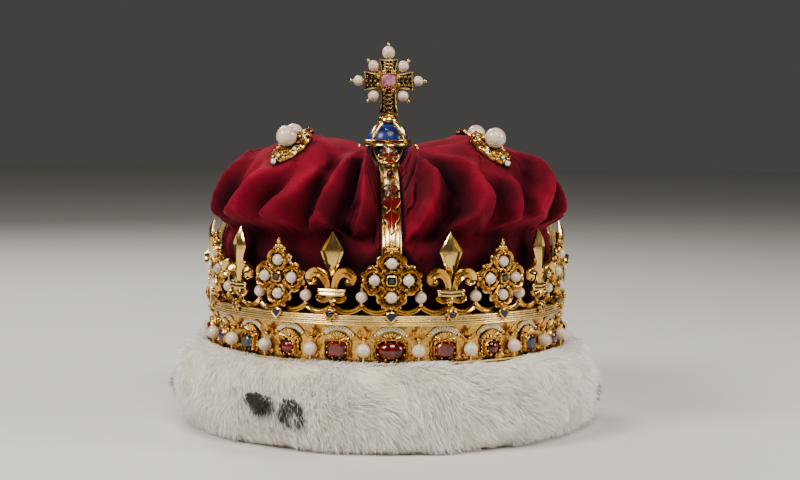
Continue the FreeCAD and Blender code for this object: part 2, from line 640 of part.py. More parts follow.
def arch_shell(name, lift, drop):
    """A shell over the arches: from drop below to lift above their outer surface."""
    outer = fused(name + "_out", [
        dome(name + "_out_dome", f"dims.arch_outer_r + {lift}", f"dims.arch_outer_rise + {lift}",
             "dims.arch_spring_z"),
        post(name + "_out_wall", f"dims.arch_outer_r + {lift}", "dims.arch_spring_z - dims.moulding_top_z",
             "dims.moulding_top_z"),
    ])
    inner = fused(name + "_in", [
        dome(name + "_in_dome", f"dims.arch_outer_r - {drop}", f"dims.arch_outer_rise - {drop}",
             "dims.arch_spring_z"),
        post(name + "_in_wall", f"dims.arch_outer_r - {drop}", "dims.arch_spring_z - 10", "10"),
    ])
    return without(name, outer, inner)


def arches():
    room = "dims.arch_spring_z + dims.arch_outer_rise - dims.moulding_top_z + 20"
    strap = block("strap", "dims.arch_w", "150", room, "-dims.arch_w / 2", "-150", "dims.moulding_top_z")
    hub_room = post("hub_hole", "dims.hub_r", "200")
    whole = without("arch_whole", shared("arch_blank", [arch_shell("arch_form", "0", "dims.arch_wall"),
                                                        strap]), hub_room)
    grooves = []
    for index, side in enumerate((-1, 1)):
        grooves.append(block(f"groove_{index}", "dims.groove_w", "150", "200",
                             f"{side} * dims.groove_reach - dims.groove_w / 2", "-150", "0"))
    skin = arch_shell("arch_skin", "1", "dims.groove_depth")
    cut = shared("groove_cut", [skin, fused("groove_pair", grooves)])
    arch = without("arch_grooved", whole, cut)
    for index, side in enumerate(("front", "right", "back", "left")):
        node(turned(f"arch_{index + 1}", arch, f"{index} * 90"), f"arch_{side}")
    node(post("hub", "dims.hub_r", "dims.hub_top_z - dims.arch_spring_z - dims.arch_inner_rise",
              "dims.arch_spring_z + dims.arch_inner_rise"), "arch_hub")


def leaf_outline(width, foot, length):
    """A lobed leaf standing on its stalk."""
    shape = ((0.0, 0.0), (0.14, 0.0), (0.5, 0.1), (0.7, 0.2), (0.42, 0.32), (0.92, 0.44), (1.0, 0.56),
             (0.55, 0.64), (0.7, 0.78), (0.45, 0.9), (0.0, 1.0))
    return mirrored([(f"({width}) / 2 * {x}", f"({foot}) + ({length}) * {z}") for x, z in shape])


def oak_leaves():
    shell = arch_shell("leaf_skin", "dims.leaf_wall", "0")
    plan = doc.addObject("PartDesign::Body", "leaf_plan")
    plan_outline = leaf_outline("dims.leaf_w", "dims.leaf_inner_r", "dims.leaf_outer_r - dims.leaf_inner_r")
    sketch = outline(plan, "leaf_plan_outline", "XY_Plane", [(x, f"-({y})") for x, y in plan_outline])
    pad = plan.newObject("PartDesign::Pad", "leaf_plan_pad")
    pad.Profile = sketch
    pad.Length = 200
    shoulder = shared("shoulder_leaf", [shell, plan])
    low_prism = front_plate("low_prism", leaf_outline("dims.leaf_w", "dims.low_leaf_z",
                                                      "dims.low_leaf_height"), "60", "60")
    low = shared("low_leaf", [shell, low_prism])
    palm_z = "dims.arch_spring_z + dims.arch_outer_rise"
    palm = front_plate("palm_leaf", leaf_outline("dims.palm_w", palm_z, "dims.palm_height"), "dims.palm_r",
                       "dims.leaf_wall")
    spray = group("arch_spray", [shoulder, low, palm])
    node(ring_of("leaf_ring", spray, "4"), "oak_leaves")


# Monde and cross

def monde():
    node(ball("globe", "dims.globe_r", "dims.globe_z"), "monde_globe")
    bare = "dims.globe_r"
    equator = post("equator_disc", "dims.equator_r", "dims.equator_w", "dims.globe_z - dims.equator_w / 2")
    shell = ball("meridian_ball", "dims.globe_r + dims.meridian_rise", "dims.globe_z")
    slabs = []
    for index, angle in enumerate((45, 135)):
        slab = block(f"meridian_slab_{index}", "dims.meridian_w", "60", "60", "-dims.meridian_w / 2",
                     "-30", "dims.globe_z - 30")
        slabs.append(turned(f"meridian_{index}", slab, f"{angle}"))
    hoops = shared("meridians", [shell, fused("meridian_pair", slabs)])
    clear = fused("band_room", [
        ball("band_globe", bare, "dims.globe_z"),
        post("band_cap_room", "dims.cap_r", "60", "dims.globe_z"),
        post("band_hub_room", "dims.cap_r", "60", "dims.globe_z - 60"),
    ])
    node(without("bands", fused("band_set", [equator, hoops]), clear), "monde_bands")
    foot_z = "dims.cap_top_z - dims.cap_height - dims.cap_height"
    stack = fused("cap_stack", [
        post("cap_disc", "dims.cap_r", "dims.cap_height", foot_z),
        post("cap_collar", "dims.collar_r", "2 * dims.cap_height", foot_z),
    ])
    bore = post("cap_bore", "dims.foot_pin_r + dims.turn_clearance", "60", "dims.globe_z")
    clear = fused("cap_room", [ball("cap_globe", bare, "dims.globe_z"), bore])
    node(without("cap", stack, clear), "monde_cap")


def cross_outline():
    """A long-footed cross whose arms widen outwards."""
    root = "dims.arm_root_w / 2"
    end = "dims.arm_end_w / 2"
    top = "dims.cross_z + dims.arm_top"
    side = "dims.arm_side"
    level = "dims.cross_z"
    return mirrored([
        ("0", "dims.cross_foot_z"),
        (end, "dims.cross_foot_z"),
        (root + " + 0.6", "dims.cross_foot_z + 5"),
        (root, f"{level} - {root}"),
        (side, f"{level} - {end}"),
        (side, f"{level} + {end}"),
        (root, f"{level} + {root}"),
        (end, top),
        ("0", top),
    ])


def cross():
    half = "dims.cross_depth / 2"
    plate = front_plate("cross_plate", cross_outline(), f"-{half}", "dims.cross_depth")
    pin = post("cross_stub", "dims.foot_pin_r", "dims.cross_foot_z - dims.globe_z - dims.globe_r - 0.2",
               "dims.globe_z + dims.globe_r + 0.2")
    node(fused("cross_whole", [plate, pin]), "cross_body")
    level = "dims.cross_z"
    collets = []
    gems = []
    for index, angle in enumerate(("0", "180")):
        wall = front_post(f"cross_ring_{index}", "dims.cross_collet_r", "dims.cross_collet_rise", "0", half,
                          level)
        hole = front_post(f"cross_seat_{index}", "dims.cross_gem_r", "dims.cross_collet_rise", "0", half,
                          level)
        collets.append(turned(f"cross_collet_{index}", without(f"cross_setting_{index}", wall, hole), angle))
        gem = front_post(f"cross_stone_{index}", "dims.cross_gem_r", "dims.cross_gem_rise", "0", half, level)
        gems.append(turned(f"cross_gem_{index}", gem, angle))
    node(group("cross_collet_pair", collets), "cross_collets")
    node(group("cross_gem_pair", gems), "cross_gems")
    cross_pearls()


def cross_pearls():
    """Seven drilled pearls on pins around the cross."""
    diagonal = cell("angle_reach") * math.sqrt(2)
    root = cell("arm_root_w") / 2 * math.sqrt(2) + cell("pin_seat")
    places = [(0, cell("arm_top") + 0.02, cell("arm_top") + cell("top_pearl_r") + 0.1, "top_pearl_r"),
              (90, cell("arm_side"), cell("arm_side") + cell("side_pearl_r") + 0.1, "side_pearl_r"),
              (-90, cell("arm_side"), cell("arm_side") + cell("side_pearl_r") + 0.1, "side_pearl_r")]
    for angle in (45, 135, -45, -135):
        places.append((angle, root, diagonal, "angle_pearl_r"))
    pearls = []
    pins = []
    for index, (angle, start, reach, size) in enumerate(places):
        frame = FreeCAD.Placement(V(0, 0, cell("cross_z")), FreeCAD.Rotation(V(0, 1, 0), angle))
        bead = drilled(f"cross_bead_{index}", "dims." + size, "dims.cross_pin_r")
        lifted = moved(f"cross_bead_lifted_{index}", bead, z=f"{reach}")
        pearl = group(f"cross_pearl_{index}", [lifted])
        pearl.Placement = frame
        pearls.append(pearl)
        length = f"{reach - start} + dims.{size} + dims.cross_pin_end"
        rod = post(f"cross_rod_{index}", "dims.cross_pin_r", length, f"{start}")
        knob = ball(f"cross_knob_{index}", "dims.cross_pin_r * 2",
                    f"{reach} + dims.{size} + dims.cross_pin_r * 2")
        pin = group(f"cross_pin_{index}", [fused(f"cross_pin_form_{index}", [rod, knob])])
        pin.Placement = frame
        pins.append(pin)
    node(group("cross_pearl_set", pearls), "cross_pearls")
    node(group("cross_pin_set", pins), "cross_pins")


ermine()
lining()
velvet()
brooches()
circlet()
circlet_stones()
gallery()
canopies()
cresting()
pin_rings = [circlet_pearls(), cresting_pearls(), flower_pearls()]
node(group("pin_set", pin_rings), "pearl_pins")
studs()
arches()
oak_leaves()
monde()
cross()
doc.recompute()

faults = []
for thing in doc.Objects:
    if "Invalid" in thing.State or "Error" in thing.State:
        faults.append(f"{thing.Name}: {thing.State}")
for thing in NODES:
    if thing.Shape.isNull() or not thing.Shape.isValid() or not thing.Shape.Solids:
        faults.append(f"{thing.Label}: no sound solid")
if faults:
    raise RuntimeError("; ".join(faults))
for thing in NODES:
    thing.Shape.exportStep(f"parts/{thing.Label}.step")
print(len(NODES), "sub-parts written")
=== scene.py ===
import bpy
import bmesh
import math
import numpy as np
from mathutils import Matrix, Vector, noise


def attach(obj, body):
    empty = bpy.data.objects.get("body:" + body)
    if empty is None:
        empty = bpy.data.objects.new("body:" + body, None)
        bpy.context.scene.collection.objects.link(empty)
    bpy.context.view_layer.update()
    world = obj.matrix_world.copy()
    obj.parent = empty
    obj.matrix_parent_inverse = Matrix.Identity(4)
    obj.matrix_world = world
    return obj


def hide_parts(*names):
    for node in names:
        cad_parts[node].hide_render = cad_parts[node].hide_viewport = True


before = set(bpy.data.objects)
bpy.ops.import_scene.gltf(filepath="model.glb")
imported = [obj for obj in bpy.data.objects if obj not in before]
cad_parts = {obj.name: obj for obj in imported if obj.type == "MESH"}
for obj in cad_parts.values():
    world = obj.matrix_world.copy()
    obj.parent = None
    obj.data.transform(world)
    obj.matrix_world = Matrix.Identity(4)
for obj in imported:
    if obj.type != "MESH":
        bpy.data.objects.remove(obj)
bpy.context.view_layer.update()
noise.seed_set(7)

MM = 0.001
OUT = Vector((0, 1, 0))
GALLERY_R = 98.4
BAND_R = 97.0
STONES = 22
CREST = 10
BROOCHES = 4
# the photograph's camera: metres, then degrees
CAMERA_AWAY, CAMERA_HEIGHT = 0.969, 0.177
CAMERA_ASIDE, CAMERA_PAN, CAMERA_DOWN, CAMERA_ROLL = 1.5, 0.44, 4.44, 0.55


# Colours and nodes

def linear(code):
    """An sRGB hex colour as linear red, green, blue and alpha."""
    parts = [int(code[i:i + 2], 16) / 255 for i in (0, 2, 4)]
    return [c / 12.92 if c <= 0.04045 else ((c + 0.055) / 1.055) ** 2.4 for c in parts] + [1.0]


def add(tree, kind, settings=None, **links):
    """Adds a node, sets its properties and links or fills its inputs by name."""
    node = tree.nodes.new(kind)
    for name, value in (settings or {}).items():
        setattr(node, name, value)
    for name, value in links.items():
        key = int(name[1:]) if name[0] == "_" else name.replace("_", " ")
        socket = node.inputs[key]
        if isinstance(value, bpy.types.NodeSocket):
            tree.links.new(value, socket)
        else:
            socket.default_value = value
    return node


def ramp(tree, source, stops):
    """A colour ramp with the given (place, colour) stops."""
    node = add(tree, "ShaderNodeValToRGB", _0=source)
    bar = node.color_ramp
    while len(bar.elements) < len(stops):
        bar.elements.new(0.5)
    for element, (place, colour) in zip(bar.elements, stops):
        element.position = place
        element.color = linear(colour)
    return node.outputs[0]


def material(name):
    made = bpy.data.materials.new(name)
    made.use_nodes = True
    made.node_tree.nodes.clear()
    tree = made.node_tree
    shader = add(tree, "ShaderNodeBsdfPrincipled")
    result = add(tree, "ShaderNodeOutputMaterial")
    tree.links.new(shader.outputs[0], result.inputs[0])
    place = add(tree, "ShaderNodeTexCoord").outputs["Object"]
    return made, tree, shader, place


def spotted(tree, place, scale, detail=3.0, rough=0.55):
    return add(tree, "ShaderNodeTexNoise", Vector=place, Scale=scale, Detail=detail,
               Roughness=rough).outputs[0]


def bumped(tree, shader, height, strength, distance, below=None):
    bump = add(tree, "ShaderNodeBump", Height=height, Strength=strength, Distance=distance)
    if below is not None:
        tree.links.new(below, bump.inputs["Normal"])
    tree.links.new(bump.outputs[0], shader.inputs["Normal"])
    return bump.outputs[0]


def gold(name, light, dark, chasing, rough, grain=900):
    """Fire-gilt and burnished gold: random wear spots, bright on the ridges and brown in the recesses, where an
    ambient-occlusion node darkens it as painted shade.
    """
    made, tree, shader, place = material(name)
    # painted shade: the ambient-occlusion value darkens the gold towards brown in recesses and creases
    hollow = add(tree, "ShaderNodeAmbientOcclusion", {"samples": 4}, Distance=0.0022).outputs["AO"]
    wear = spotted(tree, place, 160)
    mixed = add(tree, "ShaderNodeMath", {"operation": "MULTIPLY_ADD"}, _0=wear, _1=0.35, _2=-0.17)
    tone = add(tree, "ShaderNodeMath", {"operation": "ADD", "use_clamp": True}, _0=hollow,
               _1=mixed.outputs[0])
    tree.links.new(ramp(tree, tone.outputs[0], [(0.25, dark), (0.62, light), (1.0, light)]),
                   shader.inputs["Base Color"])
    shader.inputs["Metallic"].default_value = 1.0
    scuff = add(tree, "ShaderNodeMapRange", Value=spotted(tree, place, 420, 4.0), To_Min=rough * 0.7,
                To_Max=rough * 1.5)
    tree.links.new(scuff.outputs[0], shader.inputs["Roughness"])
    cells = add(tree, "ShaderNodeTexVoronoi", {"feature": "SMOOTH_F1"}, Vector=place, Scale=grain)
    fine = bumped(tree, shader, spotted(tree, place, 300), 0.25, 0.0004)
    bumped(tree, shader, cells.outputs["Distance"], chasing, 0.0003, fine)
    return made


def stone(name, deep, bright, rough=0.04, clear=0.35):
    """A polished stone over foil: dark at rest, with a bright fire where a facet catches the light."""
    made, tree, shader, place = material(name)
    cloud = spotted(tree, place, 260)
    tree.links.new(ramp(tree, cloud, [(0.35, deep), (0.75, bright)]), shader.inputs["Base Color"])
    shader.inputs["Roughness"].default_value = rough
    shader.inputs["IOR"].default_value = 1.6
    shader.inputs["Transmission Weight"].default_value = clear
    shader.inputs["Coat Weight"].default_value = 0.25
    shader.inputs["Coat Roughness"].default_value = 0.02
    return made


def enamel(name, deep, bright, scale=120, rough=0.12, gloss=0.8):
    """Fired glass enamel: slightly uneven depth of colour under a wet gloss."""
    made, tree, shader, place = material(name)
    cloud = spotted(tree, place, scale)
    tree.links.new(ramp(tree, cloud, [(0.35, deep), (0.7, bright)]), shader.inputs["Base Color"])
    shader.inputs["Roughness"].default_value = rough
    shader.inputs["IOR"].default_value = 1.52
    shader.inputs["Coat Weight"].default_value = gloss
    shader.inputs["Specular IOR Level"].default_value = 0.5 * min(1, gloss + 0.2)
    shader.inputs["Coat Roughness"].default_value = 0.05
    bumped(tree, shader, spotted(tree, place, 500), 0.12, 0.0002)
    return made


def nacre():
    """Natural pearl: cream nacre with a faint rose and green bloom and a soft deep gloss."""
    made, tree, shader, place = material("pearl_nacre")
    cloud = spotted(tree, place, 110, 2.0)
    tree.links.new(ramp(tree, cloud, [(0.3, "B09A84"), (0.5, "DCCAB6"), (0.72, "D2B09C")]),
                   shader.inputs["Base Color"])
    shader.inputs["Roughness"].default_value = 0.22
    shader.inputs["IOR"].default_value = 1.6
    shader.inputs["Subsurface Weight"].default_value = 0.15
    shader.inputs["Subsurface Scale"].default_value = 0.001
    shader.inputs["Coat Weight"].default_value = 0.7
    shader.inputs["Coat Roughness"].default_value = 0.1
    bumped(tree, shader, spotted(tree, place, 900), 0.1, 0.0002)
    return made


def velvet():
    """Cut silk velvet: crimson with a pale sheen bloom at the folds, and painted nearly black in the fold hollows
    as shade from an ambient-occlusion node.
    """
    made, tree, shader, place = material("crimson_silk_velvet")
    crushed = spotted(tree, place, 26, 5.0, 0.6)
    pile = spotted(tree, place, 1300, 2.0)
    tone = add(tree, "ShaderNodeMath", {"operation": "MULTIPLY_ADD"}, _0=pile, _1=0.22, _2=crushed)
    # painted shade: the ambient-occlusion value darkens the velvet to near black in the hollows of the folds
    open_sky = add(tree, "ShaderNodeAmbientOcclusion", {"samples": 6}, Distance=0.04).outputs["AO"]
    shade = add(tree, "ShaderNodeMath", {"operation": "MULTIPLY_ADD"}, _0=open_sky, _1=0.9, _2=-0.72).outputs[0]
    depth = add(tree, "ShaderNodeMath", {"operation": "ADD"}, _0=tone.outputs[0], _1=shade).outputs[0]
    tree.links.new(ramp(tree, depth, [(0.05, "040001"), (0.4, "24010A"), (0.7, "5E0418"), (0.98, "8C0A2A")]),
                   shader.inputs["Base Color"])
    shader.inputs["Roughness"].default_value = 0.85
    shader.inputs["Specular IOR Level"].default_value = 0.1
    shader.inputs["Sheen Weight"].default_value = 0.55
    shader.inputs["Sheen Roughness"].default_value = 0.32
    shader.inputs["Sheen Tint"].default_value = linear("E02E56")
    soft = bumped(tree, shader, crushed, 0.35, 0.0025)
    bumped(tree, shader, pile, 0.35, 0.0006, soft)
    return made


def fur(name, root, tip):
    """Winter stoat fur: fine soft hair, warmer at the skin and nearly white at the tips."""
    made, tree, shader, place = material(name)
    along = add(tree, "ShaderNodeUVMap", {"uv_map": "hair"}).outputs[0]
    split = add(tree, "ShaderNodeSeparateXYZ", _0=along).outputs[1]
    patch = spotted(tree, place, 38, 3.0)
    tone = add(tree, "ShaderNodeMath", {"operation": "MULTIPLY_ADD"}, _0=patch, _1=0.5, _2=split)
    tree.links.new(ramp(tree, tone.outputs[0], [(0.2, root), (0.75, tip)]), shader.inputs["Base Color"])
    shader.inputs["Roughness"].default_value = 0.55
    shader.inputs["Sheen Weight"].default_value = 0.5
    shader.inputs["Sheen Roughness"].default_value = 0.4
    shader.inputs["Subsurface Weight"].default_value = 0.1
    shader.inputs["Subsurface Scale"].default_value = 0.002
    return made


def silk():
    """Plain woven silk: a fine rib and a soft shine."""
    made, tree, shader, place = material("red_silk_lining")
    tree.links.new(ramp(tree, spotted(tree, place, 40), [(0.3, "6E1420"), (0.7, "94202C")]),
                   shader.inputs["Base Color"])
    shader.inputs["Roughness"].default_value = 0.45
    shader.inputs["Sheen Weight"].default_value = 0.4
    rib = add(tree, "ShaderNodeTexWave", {"bands_direction": "Z"}, Vector=place, Scale=420.0)
    bumped(tree, shader, rib.outputs[0], 0.3, 0.0003)
    return made


def plain(name, colour, rough):
    made, tree, shader, place = material(name)
    tree.links.new(ramp(tree, spotted(tree, place, 3), [(0.3, colour), (0.7, colour)]),
                   shader.inputs["Base Color"])
    shader.inputs["Roughness"].default_value = rough
    return made


GOLD = gold("burnished_gold", "E8C272", "624018", 0.06, 0.17)
CHASED = gold("chased_gold", "DDAE58", "42240A", 0.5, 0.24, 620)
PALE = gold("pale_brushed_gold", "EFCF86", "7A5420", 0.05, 0.26)
GARNET = stone("garnet_over_foil", "2A0205", "860A12", 0.06, 0.15)
AMETHYST = stone("amethyst", "3A1C48", "8A5A96", clear=0.6)
CRYSTAL = stone("dark_table_stone", "0C0D14", "2C3040")
SPINEL = stone("pink_spinel", "9A5070", "E6B4C6", clear=0.3)
PEARL = nacre()
WHITE = enamel("white_enamel", "D6D2C8", "F2EFE6")
TICK = enamel("black_tick_enamel", "0C0A0A", "1C1818")
BLUE = enamel("translucent_blue_enamel", "040C30", "173A9C", 60, 0.32, 0.2)
NAVY = enamel("dark_blue_enamel", "03061A", "0A1448", gloss=0.3)
RED = enamel("translucent_red_enamel", "3A0306", "780810", 160, 0.2, 0.3)
BLACK = enamel("black_enamel", "050404", "100C0A", gloss=0.2)
VELVET = velvet()
WHITE_FUR = fur("white_ermine_fur", "E2D8C6", "FFFDF8")
DARK_FUR = fur("dark_tail_fur", "0C0604", "2E1A10")
SKIN = fur("ermine_underfur", "DDD2BF", "F2ECDF")
SILK = silk()


# Shapes, in millimetres, with x across, y outwards and z upwards on the crown's surface

class Maker:
    """Gathers the faces of one piece."""

    def __init__(self):
        self.points = []
        self.faces = []

    def add(self, shape, put=None):
        points, faces = shape
        base = len(self.points)
        self.points += [put(Vector(p)) if put else Vector(p) for p in points]
        self.faces += [tuple(base + i for i in face) for face in faces]
        return self

    def mesh(self, name, fill):
        mesh = bpy.data.meshes.new(name)
        mesh.from_pydata([p * MM for p in self.points], [], self.faces)
        work = bmesh.new()
        work.from_mesh(mesh)
        bmesh.ops.remove_doubles(work, verts=work.verts, dist=1e-7)
        bmesh.ops.recalc_face_normals(work, faces=work.faces)
        work.to_mesh(mesh)
        work.free()
        mesh.materials.append(fill)
        return mesh


def shown(mesh, name, body, slot, nodes=(), sharp=42):
    """Puts a finished mesh on a body, in place of the named nodes."""
    mesh.shade_smooth()
    if sharp:
        mesh.set_sharp_from_angle(angle=math.radians(sharp))
    piece = bpy.data.objects.new(name, mesh)
    bpy.context.scene.collection.objects.link(piece)
    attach(piece, body)
    if nodes:
        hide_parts(*nodes)
    return piece


def wrap(radius, azimuth=0.0):
    """Bends a flat ornament round the crown at the given radius."""
    def put(p):
        angle = azimuth + p.x / radius
        reach = radius + p.y
        return Vector((reach * math.sin(angle), -reach * math.cos(angle), p.z))
    return put


def flat(radius):
    return lambda p: Vector((p.x, -(radius + p.y), p.z))


def turn(put, degrees):
    spin = Matrix.Rotation(math.radians(degrees), 3, "Z")
    return lambda p: spin @ put(p)


def curve(control, steps=6):
    """A smooth line through the control points."""
    points = [Vector(p) for p in control]
    ends = [points[0] * 2 - points[1]] + points + [points[-1] * 2 - points[-2]]
    line = []
    for a, b, c, d in zip(ends, ends[1:], ends[2:], ends[3:]):
        for step in range(steps):
            t = step / steps
            line.append(0.5 * (2 * b + (c - a) * t + (2 * a - 5 * b + 4 * c - d) * t * t
                               + (3 * b - 3 * c + d - a) * t ** 3))
    line.append(points[-1])
    return line


def sweep(path, section, sizes=None, out=OUT, loop=False):
    """A section (across, outwards) carried along a path."""
    count = len(path)
    points = []
    faces = []
    for index, place in enumerate(path):
        before = path[index - 1] if index or loop else path[0]
        after = path[(index + 1) % count] if index < count - 1 or loop else path[-1]
        way = (after - before).normalized()
        rise = out(place) if callable(out) else out
        side = way.cross(rise).normalized()
        up = side.cross(way).normalized()
        size = sizes[index] if sizes else 1.0
        points += [place + side * (s * size) + up * (o * size) for s, o in section]
    ring = len(section)
    for index in range(count if loop else count - 1):
        after = (index + 1) % count
        for k in range(ring):
            j = (k + 1) % ring
            faces.append((index * ring + k, index * ring + j, after * ring + j, after * ring + k))
    if not loop:
        faces.append(tuple(reversed(range(ring))))
        faces.append(tuple(range((count - 1) * ring, count * ring)))
    return points, faces


def channel(width, thick):
    """A strap with rolled edges and a hollow between them."""
    w = width / 2
    return [(-w, 0), (-w, 0.7 * thick), (-0.8 * w, thick), (-0.55 * w, 0.72 * thick), (0, 0.4 * thick),
            (0.55 * w, 0.72 * thick), (0.8 * w, thick), (w, 0.7 * thick), (w, 0)]


def round_bar(radius, sides=8):
    return [(radius * math.cos(2 * math.pi * k / sides), radius * math.sin(2 * math.pi * k / sides))
            for k in range(sides)]


def half_round(width, thick):
    return [(-width / 2, 0), (-width * 0.42, thick * 0.6), (-width * 0.2, thick * 0.95), (0, thick),
            (width * 0.2, thick * 0.95), (width * 0.42, thick * 0.6), (width / 2, 0)]


def bead(centre, radius, rows=5, columns=8, squash=1.0):
    centre = Vector(centre)
    points = [centre + Vector((0, 0, radius * squash))]
    for row in range(1, rows):
        tilt = math.pi * row / rows
        for k in range(columns):
            spin = 2 * math.pi * k / columns
            points.append(centre + Vector((radius * math.sin(tilt) * math.cos(spin),
                                           radius * math.sin(tilt) * math.sin(spin),
                                           radius * squash * math.cos(tilt))))
    points.append(centre - Vector((0, 0, radius * squash)))
    faces = [(0, 1 + (k + 1) % columns, 1 + k) for k in range(columns)]
    for row in range(rows - 2):
        for k in range(columns):
            a = 1 + row * columns
            j = (k + 1) % columns
            faces.append((a + k, a + j, a + columns + j, a + columns + k))
    last = len(points) - 1
    base = 1 + (rows - 2) * columns
    faces += [(base + k, base + (k + 1) % columns, last) for k in range(columns)]
    return points, faces


def lathe(section, steps=192, closed=True):
    """A section of (radius, height) spun about the upright axis."""
    points = []
    faces = []
    count = len(section)
    for step in range(steps):
        angle = 2 * math.pi * step / steps
        points += [Vector((r * math.sin(angle), -r * math.cos(angle), z)) for r, z in section]
    for step in range(steps):
        after = (step + 1) % steps
        for k in range(count if closed else count - 1):
            j = (k + 1) % count
            faces.append((step * count + k, after * count + k, after * count + j, step * count + j))
    return points, faces


def plaque(outline, low, high, bevel=0.25):
    """A plate with the given (x, z) outline, its front edge eased."""
    count = len(outline)
    middle = sum((Vector(p) for p in outline), Vector((0, 0))) / count
    points = []
    for depth, shrink in ((low, 0.0), (high - bevel, 0.0), (high, bevel)):
        for p in outline:
            away = (middle - Vector(p))
            p = Vector(p) + away.normalized() * min(shrink, away.length)
            points.append(Vector((p.x, depth, p.y)))
    faces = [tuple(range(count)), tuple(range(2 * count, 3 * count))]
    for layer in range(2):
        for k in range(count):
            j = (k + 1) % count
            faces.append((layer * count + k, layer * count + j, (layer + 1) * count + j,
                          (layer + 1) * count + k))
    return points, faces


def step_cut(width, height, corner, low, table):
    """A step-cut stone: girdle, two bevel steps and a flat table."""
    points = []
    for depth, share in ((low, 0.9), (low + (table - low) * 0.45, 1.0), (low + (table - low) * 0.75, 0.86),
                         (table, 0.62)):
        w = width / 2 * share
        d = height / 2 * share
        c = corner * share
        for x, z in ((-w + c, -d), (w - c, -d), (w, -d + c), (w, d - c), (w - c, d), (-w + c, d), (-w, d - c),
                     (-w, -d + c)):
            points.append(Vector((x, depth, z)))
    faces = [tuple(range(8)), tuple(range(24, 32))]
    for layer in range(3):
        for k in range(8):
            j = (k + 1) % 8
            faces.append((layer * 8 + k, layer * 8 + j, (layer + 1) * 8 + j, (layer + 1) * 8 + k))
    return points, faces


def dome_stone(width, height, low, top, rows=7, columns=24):
    """A smooth cabochon."""
    points = []
    for row in range(rows):
        rise = math.pi / 2 * row / rows
        for k in range(columns):
            spin = 2 * math.pi * k / columns
            points.append(Vector((width / 2 * math.cos(rise) * math.cos(spin),
                                  low + (top - low) * math.sin(rise),
                                  height / 2 * math.cos(rise) * math.sin(spin))))
    points.append(Vector((0, top, 0)))
    faces = [tuple(range(columns))]
    for row in range(rows - 1):
        for k in range(columns):
            j = (k + 1) % columns
            faces.append((row * columns + k, row * columns + j, (row + 1) * columns + j,
                          (row + 1) * columns + k))
    for k in range(columns):
        faces.append(((rows - 1) * columns + k, (rows - 1) * columns + (k + 1) % columns, rows * columns))
    return points, faces


def oval(width, height, steps=28, power=2.0):
    """A closed oval line in the ornament's plane; a higher power makes it squarer."""
    line = []
    for k in range(steps):
        spin = 2 * math.pi * k / steps
        c, s = math.cos(spin), math.sin(spin)
        line.append(Vector((width / 2 * math.copysign(abs(c) ** (2 / power), c), 0,
                            height / 2 * math.copysign(abs(s) ** (2 / power), s))))
    return line


# Geometry trees

def group_tree(name, inputs):
    tree = bpy.data.node_groups.new(name, "GeometryNodeTree")
    tree.interface.new_socket("Geometry", in_out="INPUT", socket_type="NodeSocketGeometry")
    for label, kind in inputs:
        tree.interface.new_socket(label, in_out="INPUT", socket_type=kind)
    tree.interface.new_socket("Geometry", in_out="OUTPUT", socket_type="NodeSocketGeometry")
    return tree, add(tree, "NodeGroupInput").outputs


def finished_tree(tree, geometry, fill):
    whole = add(tree, "GeometryNodeRealizeInstances", Geometry=geometry)
    painted = add(tree, "GeometryNodeSetMaterial", Geometry=whole.outputs[0], Material=fill)
    add(tree, "NodeGroupOutput", Geometry=painted.outputs[0])
    return tree


def ring_tree():
    """Copies of the incoming shape evenly round the upright axis."""
    tree, given = group_tree("copies_round_the_crown", [("Count", "NodeSocketInt"), ("Start", "NodeSocketFloat"),
                                                        ("Finish", "NodeSocketMaterial")])
    spots = add(tree, "GeometryNodePoints", Count=given["Count"])
    number = add(tree, "GeometryNodeInputIndex").outputs[0]
    step = add(tree, "ShaderNodeMath", {"operation": "DIVIDE"}, _0=2 * math.pi, _1=given["Count"])
    angle = add(tree, "ShaderNodeMath", {"operation": "MULTIPLY_ADD"}, _0=number, _1=step.outputs[0],
                _2=given["Start"])
    spin = add(tree, "ShaderNodeCombineXYZ", Z=angle.outputs[0])
    copies = add(tree, "GeometryNodeInstanceOnPoints", Points=spots.outputs[0], Instance=given["Geometry"],
                 Rotation=spin.outputs[0])
    return finished_tree(tree, copies.outputs[0], given["Finish"])


def fur_tree():
    """Hairs scattered over the incoming skin, each lying along the skin's 'lay' direction."""
    tree, given = group_tree("hairs_on_skin", [("Hair", "NodeSocketObject"), ("Density", "NodeSocketFloat"),
                                               ("Seed", "NodeSocketInt"), ("Finish", "NodeSocketMaterial")])
    spots = add(tree, "GeometryNodeDistributePointsOnFaces", Mesh=given["Geometry"],
                Density=given["Density"], Seed=given["Seed"])
    lay = add(tree, "GeometryNodeInputNamedAttribute", {"data_type": "FLOAT_VECTOR"}, Name="lay").outputs[0]
    stray = add(tree, "FunctionNodeRandomValue", {"data_type": "FLOAT_VECTOR"}, Min=(-0.17, -0.17, -0.17),
                Max=(0.17, 0.17, 0.17), Seed=3).outputs[0]
    way = add(tree, "ShaderNodeVectorMath", {"operation": "ADD"}, _0=lay, _1=stray).outputs[0]
    aimed = add(tree, "FunctionNodeAlignRotationToVector", {"axis": "Z"}, Vector=way).outputs[0]
    roll = add(tree, "FunctionNodeRandomValue", {"data_type": "FLOAT"}, Seed=5)
    roll.inputs[2].default_value = 0.0
    roll.inputs[3].default_value = 6.28
    spin = add(tree, "ShaderNodeCombineXYZ", Z=roll.outputs[1]).outputs[0]
    rolled = add(tree, "FunctionNodeRotateRotation", {"rotation_space": "LOCAL"}, Rotation=aimed,
                 Rotate_By=spin).outputs[0]
    length = add(tree, "FunctionNodeRandomValue", {"data_type": "FLOAT"}, Seed=8)
    length.inputs[2].default_value = 0.65
    length.inputs[3].default_value = 1.25
    hair = add(tree, "GeometryNodeObjectInfo", Object=given["Hair"])
    copies = add(tree, "GeometryNodeInstanceOnPoints", Points=spots.outputs[0], Instance=hair.outputs["Geometry"],
                 Rotation=rolled, Scale=length.outputs[1])
    return finished_tree(tree, copies.outputs[0], given["Finish"])


